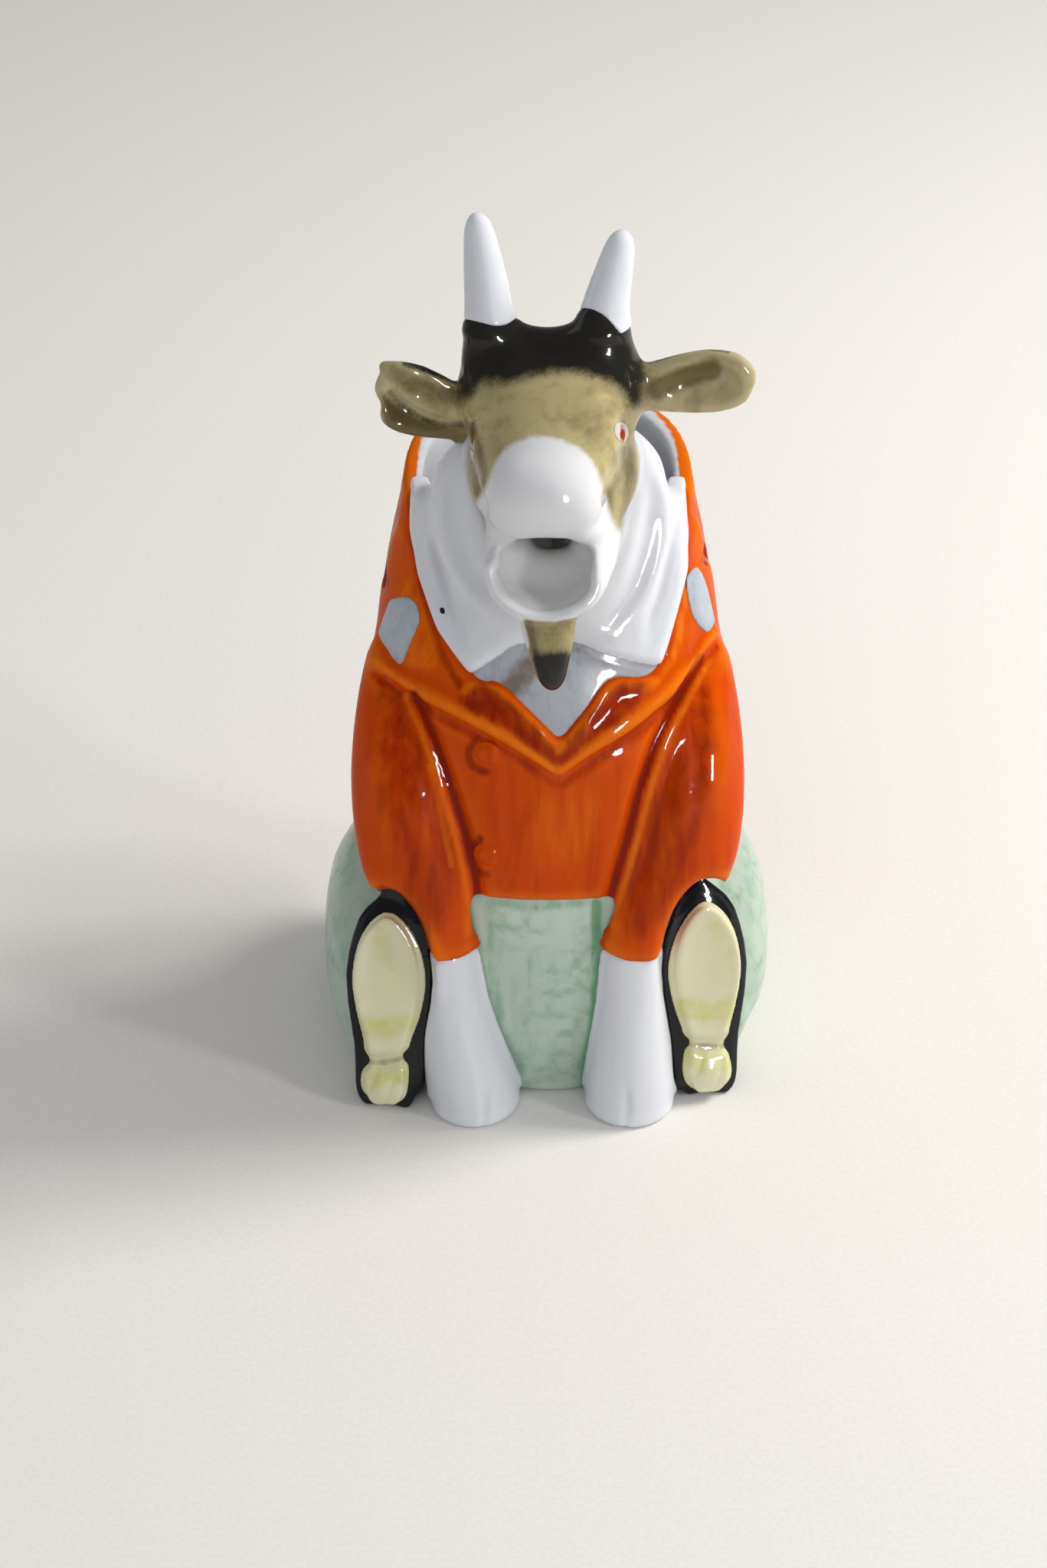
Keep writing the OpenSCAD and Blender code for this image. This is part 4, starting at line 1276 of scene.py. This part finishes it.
@dataclass
class Trousers(Casting):
    """Seat of the trousers with the base and both hind legs."""

    axis_y: float = 0.0
    lining: tuple[float, float] = (20.5, 19.5)

    @property
    def fillets(self) -> dict[str, float]:
        """Width over which a node is melted to the seat."""
        return {"base": 1.6, "leg_left": 1.8, "leg_right": 1.8}

    def paints(self, shell: Shell) -> dict[str, np.ndarray]:
        """Paints darker green: painted shade under the coat's hem and beside the forelegs, and a fainter stroke
        down the front.

        Args:
            shell: Surface of the trousers.

        Returns:
            The darker green with its painted shade, and where the inside is.
        """
        # Painted shade under the coat's hem and beside the forelegs; a fainter stroke down the front.
        green = brushed(shell, (
            Brush(((778, 1180), (780, 1260), (776, 1330), (762, 1420)), 13, 0.9),
            Brush(((640, 1190), (640, 1250), (655, 1330)), 12, 0.4),
            Brush(((640, 1178), (700, 1184), (760, 1180)), 10, 0.5),
            Brush(((690, 1190), (694, 1300), (700, 1420)), 9, 0.3),
        ))
        return {"inside": lined(shell, self.axis_y, self.lining), "green": green}


@dataclass
class Neck(Casting):
    """Neck with both halves of the collar."""

    folds: tuple = (
        ((584, 604), (576, 640), (580, 700), (600, 752), (640, 806)),
        ((862, 612), (868, 660), (862, 720), (842, 780), (806, 826)),
    )
    grooves: tuple = (
        ((596, 612), (588, 650), (592, 700), (612, 748), (648, 796)),
        ((846, 622), (852, 664), (848, 712), (832, 766), (800, 812)),
        ((560, 700), (575, 770), (600, 838)),
        ((880, 700), (868, 770), (846, 850)),
    )

    @property
    def fillets(self) -> dict[str, float]:
        """Width over which a node is melted to the neck."""
        return {"collar_left": 2.2, "collar_right": 2.2}

    def model(self, clay: Clay) -> None:
        """Fills the joint of neck and collar and models the collar's folds.

        Args:
            clay: Form of the neck.
        """
        clay.fill(soft=1.8, above=74.0, fade=4.0)
        for line in self.folds:
            clay.fold(line, radius=2.0, proud=0.45, fillet=1.6)
        for line in self.grooves:
            clay.crease(line, radius=1.6, depth=0.3, fillet=1.4)

    def paints(self, shell: Shell) -> dict[str, np.ndarray]:
        """Paints the speck."""
        return {"speck": brushed(shell, (Brush(((577, 796), (578, 799)), 5, 1.0),))}


@dataclass
class Shirt(Casting):
    """Shirt front in the opening of the coat."""

    def paints(self, shell: Shell) -> dict[str, np.ndarray]:
        """Paints the shade under the collar.

        Args:
            shell: Surface of the shirt front.

        Returns:
            The shade.
        """
        return {"shade": brushed(shell, (
            Brush(((640, 905), (662, 880), (690, 852), (702, 880), (672, 915), (655, 918)), 14, 0.9, patch=True),
            Brush(((778, 850), (800, 868), (822, 892), (800, 905), (785, 880)), 12, 0.6, patch=True),
            Brush(((690, 850), (723, 842), (775, 850)), 12, 0.45),
        ))}


@dataclass
class Horn(Casting):
    """Horn, whose root is melted to the head."""

    @property
    def fillets(self) -> dict[str, float]:
        """Width over which the head is melted to the horn."""
        return {"head": 2.6}


@dataclass
class Buttons(Casting):
    """Moulded buttons on the coat, set by a tree of geometry nodes."""

    carrier: Casting | None = None
    spots: tuple = ((636, 985), (636, 1117))
    width: float = 3.5
    height: float = 0.5
    sink: float = 0.5
    sides: int = 48
    rings: int = 24
    dome: tuple[float, float] = (0.5, 0.22)

    def tree(self) -> tuple[bpy.types.NodeTree, dict[str, str]]:
        """Makes the tree that lays a domed button on every point.

        Returns:
            The tree, and the identifier of each of its inputs by name.
        """
        tree = bpy.data.node_groups.new("domed_buttons", "GeometryNodeTree")
        names = {}
        kinds = {"Seats": "Geometry", "Width": "Float", "Height": "Float", "Sink": "Float", "Sides": "Int",
                 "Finish": "Material"}
        for name, kind in kinds.items():
            socket = tree.interface.new_socket(name, in_out="INPUT", socket_type=f"NodeSocket{kind}")
            names[name] = socket.identifier
        tree.interface.new_socket("Buttons", in_out="OUTPUT", socket_type="NodeSocketGeometry")
        g = Graph(tree)
        given = tree.nodes.new("NodeGroupInput").outputs
        ball = g.add(Kind.BALL, given["Sides"], self.rings, 0.5)
        parts = [g.add(axis, g.add(Kind.POSITION)) for axis in (Kind.X, Kind.Y, Kind.Z)]
        squares = [g.add(Kind.POWER, p, 2.0) for p in parts[:2]]
        reach = g.add(Kind.ROOT, g.add(Kind.SUM, *squares))
        dome = g.add(Kind.SPAN, reach, *self.dome)
        above = g.add(Kind.ABOVE, parts[2], 0.0)
        rise = g.add(Kind.TIMES, g.add(Kind.TIMES, dome, given["Height"]), above)
        drop = g.add(Kind.TIMES, g.add(Kind.LESS, 1.0, above), given["Sink"])
        flat = [g.add(Kind.TIMES, p, given["Width"]) for p in parts[:2]]
        button = g.add(Kind.MOVED, ball, g.add(Kind.XYZ, *flat, g.add(Kind.LESS, rise, drop)))
        laid = g.add(Kind.LAID, given["Seats"], button, g.add(Kind.TURNED, g.add(Kind.NAMED, "out")))
        soft = g.add(Kind.SMOOTH, g.add(Kind.REALIZED, laid))
        g.add(Kind.RESULT, g.add(Kind.DRESSED, soft, given["Finish"]))
        return tree, names

    def build(self) -> bpy.types.Object:
        """Lays the buttons on the coat and turns them into a plain mesh.

        Returns:
            The finished object.
        """
        clay = self.carrier.clay
        seats = clay.seen(list(self.spots))
        mesh = bpy.data.meshes.new("button_seats")
        mesh.from_pydata([tuple(p * MM) for p in seats], [], [])
        layer = mesh.attributes.new("out", "FLOAT_VECTOR", "POINT")
        layer.data.foreach_set("vector", clay.slope(seats).astype(np.float32).ravel())
        seat = bpy.data.objects.new("button_seats", mesh)
        bpy.context.scene.collection.objects.link(seat)
        layers = seat.modifiers.new("buttons", "NODES")
        tree, names = self.tree()
        layers.node_group = tree
        for name, value in (("Width", self.width * MM), ("Height", self.height * MM), ("Sink", self.sink * MM),
                            ("Sides", self.sides), ("Finish", self.glaze.build())):
            layers[names[name]] = value
        bpy.context.view_layer.update()
        plain = bpy.data.meshes.new_from_object(seat.evaluated_get(bpy.context.evaluated_depsgraph_get()))
        plain.name = self.name
        seat.modifiers.clear()
        bpy.data.objects.remove(seat)
        made = bpy.data.objects.new(self.name, plain)
        bpy.context.scene.collection.objects.link(made)
        LOG.info("%s: %d faces", self.name, len(plain.polygons))
        self.fit(made)
        return made


@dataclass
class Hoof(Casting):
    """Foreleg and hoof under a sleeve, with the cleft of the hoof."""

    cleft: tuple = ()

    def model(self, clay: Clay) -> None:
        """Models the cleft of the hoof."""
        for line in self.cleft:
            clay.crease(line, radius=0.6, depth=0.25, fillet=0.5, taper=0.5)


@dataclass
class Sole(Casting):
    """Sole of a shoe, with a worn tread and a raised heel."""

    waist: tuple = ()
    heel: tuple = ()
    toe: tuple = ()

    def model(self, clay: Clay) -> None:
        """Models the waist and the heel."""
        clay.crease(self.waist, radius=1.2, depth=0.45, fillet=0.9, taper=0.2)
        clay.fold(self.heel, radius=2.6, proud=0.35, fillet=1.4, taper=0.3)

    def paints(self, shell: Shell) -> dict[str, np.ndarray]:
        """Paints the yellow patches and the brown line.

        Args:
            shell: Surface of the sole.

        Returns:
            The patches and the line.
        """
        return {
            "yellow": brushed(shell, (
                Brush(self.toe, 26, 0.35),
                Brush(tuple((u, v - 45) for u, v in self.waist), 26, 0.6),
                Brush(tuple((u, v + 22) for u, v in self.waist), 22, 0.6))),
            "brown": brushed(shell, (Brush(self.waist, 7, 0.55),)),
        }


@dataclass
class Head(Casting):
    """Head with its ears and beard."""

    upper_lip: tuple = ((644, 698), (668, 706), (700, 709), (742, 706), (774, 698), (790, 688))
    lower_lip: tuple = (
        (641, 724), (647, 752), (664, 783), (690, 800), (722, 805), (752, 797), (774, 774), (785, 744), (788, 708))
    muzzle_folds: tuple = (((642, 618), (631, 655), (627, 690)), ((782, 618), (795, 660), (801, 690)))
    ear_left_rim: tuple = ((602, 541), (565, 536), (533, 519), (509, 495))
    ear_left_edge: tuple = ((602, 556), (562, 551), (528, 532), (510, 514))
    ear_left_tip: tuple = ((550, 489), (520, 480), (498, 474))
    ear_left_cup: tuple = ((594, 516), (562, 507), (530, 491))
    ear_right_cup: tuple = ((858, 508), (895, 494), (934, 484))
    brow: tuple = ((760, 548), (785, 534), (812, 540))
    sill: tuple = ((-3.6, -20.8, 81.6), (0.2, -21.0, 81.4), (4.0, -20.8, 81.6))
    ear_wall: float = 0.3
    polish: float = 0.25

    @property
    def fillets(self) -> dict[str, float]:
        """Width over which a node is melted to the head."""
        return {"ear_left": 1.4, "ear_right": 1.4, "beard": 1.0, "horn_left": 2.6, "horn_right": 2.6}

    def model(self, clay: Clay) -> None:
        """Models the lips, the muzzle, the ears and the brow.

        Args:
            clay: Form of the head.
        """
        clay.fill(soft=2.0, above=96.0, fade=4.0)
        clay.stroke(np.array(self.sill), radius=2.0, fillet=2.6, taper=0.1)
        clay.fold(self.upper_lip, radius=1.3, proud=0.3, fillet=1.0, taper=0.3)
        clay.fold(self.lower_lip, radius=0.8, proud=0.15, fillet=0.8, taper=0.2)
        for line in self.muzzle_folds:
            clay.crease(line, radius=1.6, depth=0.3, fillet=1.4)
        whole = clay.d.copy()
        clay.crease(self.ear_left_cup, radius=1.8, depth=0.3, fillet=0.8)
        clay.fold(self.ear_left_rim, radius=1.0, proud=0.35, fillet=0.8, taper=0.3)
        clay.crease(self.ear_left_edge, radius=1.0, depth=0.4, fillet=0.6, taper=0.3)
        clay.crease(self.ear_right_cup, radius=2.2, depth=0.35, fillet=0.8)
        clay.d = np.minimum(clay.d, whole + self.ear_wall)
        clay.fold(self.ear_left_tip, radius=1.0, proud=0.55, fillet=0.9, taper=0.35)
        clay.fold(self.brow, radius=1.6, proud=0.25, fillet=1.4)
        clay.d = clay.blur(clay.d, self.polish)

    def paints(self, shell: Shell) -> dict[str, np.ndarray]:
        """Paints the muzzle, the crown, the beard and the ears, with painted shade about the ears, the eyes and
        the left side of the face.

        Args:
            shell: Surface of the head.

        Returns:
            The white, the black and the brown; the black and the brown carry painted shade.
        """
        front = ramp(shell.facing, -0.1, 0.15)
        white = front * Brush((
            (645, 609), (661, 584), (694, 571), (727, 574), (760, 588), (780, 617), (793, 656), (803, 686),
            (818, 704), (832, 760), (800, 830), (723, 850), (640, 830), (604, 740), (612, 684), (628, 648)),
            12, 1.0, patch=True).laid(shell)
        beard = ramp(shell.points[:, 2], 80.5, 79.5) * Brush((
            (683, 808), (723, 812), (762, 802), (755, 840), (742, 885), (730, 915), (712, 905), (696, 862)),
            5, 1.0, patch=True).laid(shell)
        tip = beard * ramp(shell.spots[:, 1], 838, 866)
        crown = Brush((
            (560, 200), (590, 440), (596, 512), (616, 516), (632, 502), (661, 500), (700, 490), (738, 487),
            (777, 493), (806, 506), (822, 530), (838, 528), (846, 470), (890, 200)),
            22, 1.0, patch=True).laid(shell)
        # Black rims of the ears, and painted shade along the fold of the left ear.
        edges = brushed(shell, (
            Brush(((604, 502), (566, 484), (530, 474)), 11, 0.75),
            Brush(((838, 476), (872, 463), (910, 453), (950, 457)), 9, 0.6),
            Brush(self.ear_left_edge, 8, 0.5),
        ))
        # Brown: painted shade in the hollow of the right ear, in the cup of the left one, beside the eyes and down
        # the left side of the face; darker brown on the left ear's lower lobe, the brow, the right cheek and the
        # beard.
        brown = brushed(shell, (
            Brush(((858, 508), (892, 494), (928, 482)), 24, 1.0),
            Brush(((497, 512), (528, 534), (565, 553), (602, 558), (604, 582), (560, 578), (516, 574), (500, 545)),
                  8, 0.95, patch=True),
            Brush(((600, 520), (560, 510), (520, 490)), 24, 0.7),
            Brush(((752, 552), (775, 540), (800, 535), (818, 546)), 24, 0.42),
            Brush(((768, 564), (792, 556)), 14, 0.35),
            Brush(((632, 560), (660, 548)), 14, 0.35),
            Brush(((818, 590), (824, 630), (818, 680)), 17, 0.7),
            Brush(((612, 560), (622, 600), (626, 640)), 20, 0.8),
            Brush(((690, 815), (700, 860), (712, 890)), 14, 0.75),
            Brush(((758, 815), (750, 860)), 12, 0.65),
            Brush(((690, 808), (755, 808), (748, 850), (730, 880), (704, 862)), 8, 0.55, patch=True),
        ))
        black = np.maximum(np.maximum(crown, tip), edges)
        return {"white": white * (1.0 - beard), "black": black, "brown": brown}


@dataclass
class Daub(Casting):
    """Dab of enamel that lies on another piece."""

    carrier: Casting | None = None
    outline: tuple = ()
    pupil: tuple = ()
    proud: float = 0.16
    crown: tuple[float, float] = (0.2, -1.4)
    lift: float = 0.05
    depth: float = 1.0
    room: float = 1.6
    edge: float = 0.2

    def form(self) -> Clay:
        """Cuts a thin plate out of the carrier's surface.

        Returns:
            The form.
        """
        clay = Clay(self.nodes, self.step, self.room)
        clay.take(self.carrier.clay)
        outside = -clay.inside(self.outline)
        crown = self.proud * ramp(outside, *self.crown)
        plate = shave(clay.d - self.lift - crown, -(clay.d + self.depth), self.edge)
        clay.d = shave(plate, outside, self.edge).astype(np.float32)
        return clay

    def paints(self, shell: Shell) -> dict[str, np.ndarray]:
        """Paints the pupil, if there is one."""
        return {"pupil": PIXEL * outline_distance(shell.spots, ring(self.pupil))} if self.pupil else {}


@dataclass(frozen=True)
class Lamp:
    """Lamp: its place and aim, its size and power, and whether it only shines in the glaze."""

    name: str
    place: tuple[float, float, float]
    size: tuple[float, float]
    power: float
    tint: str = "#ffffff"
    mirrored: bool = False
    aim: tuple[float, float, float] = (0.0, -5.0, 55.0)

    def build(self) -> None:
        """Adds the lamp to the scene."""
        data = bpy.data.lights.new(self.name, "AREA")
        data.shape, data.size, data.size_y = "RECTANGLE", self.size[0] * MM, self.size[1] * MM
        data.energy = self.power
        data.color = linear(self.tint)[:3]
        lamp = bpy.data.objects.new(self.name, data)
        lamp.location = [c * MM for c in self.place]
        way = np.array(self.aim) - np.array(self.place)
        lamp.rotation_euler = Vector(way).to_track_quat("-Z", "Y").to_euler()
        lamp.visible_glossy, lamp.visible_diffuse = self.mirrored, not self.mirrored
        bpy.context.scene.collection.objects.link(lamp)


@dataclass(frozen=True)
class Stage:
    """Floor, lamps and sky around the object."""

    paper: str = "#e9e7e4"
    tooth: str = "#e4e2de"
    tooth_span: tuple[float, float] = (0.3, 0.7)
    paper_roughness: float = 0.85
    paper_ior: float = 1.3
    reach: float = 3000.0
    sky: float = 0.42
    shine: float = 0.2
    lamps: tuple[Lamp, ...] = (
        Lamp("key", (470.0, 130.0, 440.0), (210.0, 210.0), 3.5, "#fffbf4"),
        Lamp("side", (820.0, -430.0, 420.0), (120.0, 120.0), 2.2),
        Lamp("fill", (-260.0, -760.0, 460.0), (500.0, 500.0), 1.0, "#f4f6ff"),
        Lamp("window", (490.0, -980.0, 270.0), (130.0, 330.0), 21.0, mirrored=True),
    )

    def build(self) -> None:
        """Adds the floor, the sky and the lamps."""
        size = self.reach * MM
        mesh = bpy.data.meshes.new("paper_sheet")
        corners = [(-size, -size, 0), (size, -size, 0), (size, size, 0), (-size, size, 0)]
        mesh.from_pydata(corners, [], [(0, 1, 2, 3)])
        floor = bpy.data.objects.new("paper_sheet", mesh)
        bpy.context.scene.collection.objects.link(floor)
        material = bpy.data.materials.new("matt_paper")
        material.use_nodes = True
        material.node_tree.nodes.clear()
        g = Graph(material.node_tree)
        tooth = g.add(Kind.SPAN, g.grain((0.6, 0.6, 0.6)), *self.tooth_span)
        tone = g.add(Kind.MIX, tooth, linear(self.paper), linear(self.tooth))
        g.add(Kind.SURFACE, g.add(Kind.SKIN, tone, self.paper_roughness, self.paper_ior))
        mesh.materials.append(material)
        world = bpy.data.worlds.new("sky")
        world.use_nodes = True
        world.node_tree.nodes.clear()
        g = Graph(world.node_tree)
        power = g.add(Kind.LESS, self.sky, g.add(Kind.TIMES, g.add(Kind.GLOSSY), self.sky - self.shine))
        g.add(Kind.WORLD, g.add(Kind.SHINE, linear("#ffffff"), power))
        bpy.context.scene.world = world
        for lamp in self.lamps:
            lamp.build()


def castings() -> list[Casting]:
    """Lists the pieces of the jug.

    Returns:
        The pieces, those that carry others first.
    """
    roots = {
        Side.LEFT: ((600, 416), (625, 421), (645, 426), (662, 424), (690, 412), (700, 470), (590, 470)),
        Side.RIGHT: ((735, 412), (753, 406), (766, 404), (788, 413), (810, 436), (828, 452), (830, 480),
                     (735, 480)),
    }
    vee = (
        ((596, 862), (622, 894), (650, 893), (688, 928), (731, 972), (728, 992), (690, 970), (596, 905)),
        ((880, 852), (843, 885), (797, 889), (768, 925), (731, 972), (734, 992), (780, 960), (880, 890)),
    )
    coat = Coat("coat", ("coat_body", "sleeve_left", "sleeve_right", "lapel_left", "lapel_right", "handle"),
                "orange_enamel", ORANGE, 0.46, claims=vee)
    head = Head("head", ("head", "ear_left", "ear_right", "beard"), "taupe_enamel", TAUPE, 0.26,
                claims=tuple(roots.values()))
    pieces = [
        coat, head,
        Trousers("trousers", ("trouser_seat", "base", "leg_left", "leg_right"), "mint_enamel", MINT, 0.44),
        Neck("neck_and_collar", ("neck", "collar_left", "collar_right"), "white_glaze", WHITE, 0.3),
        Shirt("shirt_front", ("shirt_front",), "shirt_enamel", SHIRT, 0.25, gives=vee),
        Buttons("coat_buttons", ("coat_buttons",), "orange_enamel", ORANGE, carrier=coat),
        Daub("flower_left", ("flower_left",), "flower_enamel", FLOWER, 0.2, carrier=coat, outline=(
            (511, 782), (530, 779), (545, 790), (548, 812), (540, 832), (532, 852), (524, 868), (514, 862),
            (505, 848), (495, 832), (493, 812), (500, 795))),
        Daub("flower_right", ("flower_right",), "flower_enamel", FLOWER, 0.2, carrier=coat, outline=(
            (905, 741), (920, 740), (931, 756), (937, 780), (936, 806), (925, 826), (912, 818), (902, 800),
            (897, 778), (896, 755))),
        Daub("eye_right", ("eye_right",), "white_glaze", EYE, 0.12, carrier=head, outline=(
            (803, 553), (812, 551), (819, 557), (821, 567), (817, 577), (809, 577), (803, 570), (801, 560)),
            pupil=((813, 559), (816, 564), (816, 572), (813, 577), (810, 572), (810, 564))),
        Daub("eye_left", ("eye_left",), "white_glaze", EYE, 0.12, carrier=head, outline=(
            (604, 588), (612, 584), (620, 590), (622, 600), (616, 610), (606, 612), (600, 604)),
            pupil=((608, 590), (611, 595), (611, 603), (608, 608), (605, 603), (605, 595))),
    ]
    soles = {
        Side.LEFT: (((468, 1384), (500, 1388), (532, 1380)), ((486, 1418), (508, 1426)),
                    ((492, 1212), (505, 1262))),
        Side.RIGHT: (((894, 1362), (930, 1368), (960, 1362)), ((912, 1398), (940, 1404)),
                     ((938, 1210), (950, 1260))),
    }
    clefts = {
        Side.LEFT: (((638, 1424), (635, 1448), (631, 1474)),),
        Side.RIGHT: (((818, 1422), (819, 1448), (817, 1473)),),
    }
    for side in Side:
        t = side.tag
        waist, heel, toe = soles[side]
        pieces += [
            Casting(f"shoe_{t}", (f"shoe_{t}",), "black_enamel", BLACK, 0.25),
            Sole(f"sole_{t}", (f"sole_{t}",), "cream_enamel", CREAM, 0.2, waist=waist, heel=heel, toe=toe),
            Hoof(f"hoof_{t}", (f"hoof_{t}",), "white_glaze", WHITE, 0.25, cleft=clefts[side]),
            Horn(f"horn_{t}", (f"horn_{t}",), "white_glaze", WHITE, 0.22, gives=(roots[side],)),
        ]
    return pieces


def main() -> None:
    """Builds the scene."""
    logging.basicConfig(level=logging.INFO, format="%(name)s %(message)s")
    Clay.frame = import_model()
    LENS.build()
    Stage().build()
    for casting in castings():
        casting.build()
    bpy.context.scene.view_settings.view_transform = "Standard"
    bpy.context.view_layer.update()


if __name__ == "__main__":
    main()
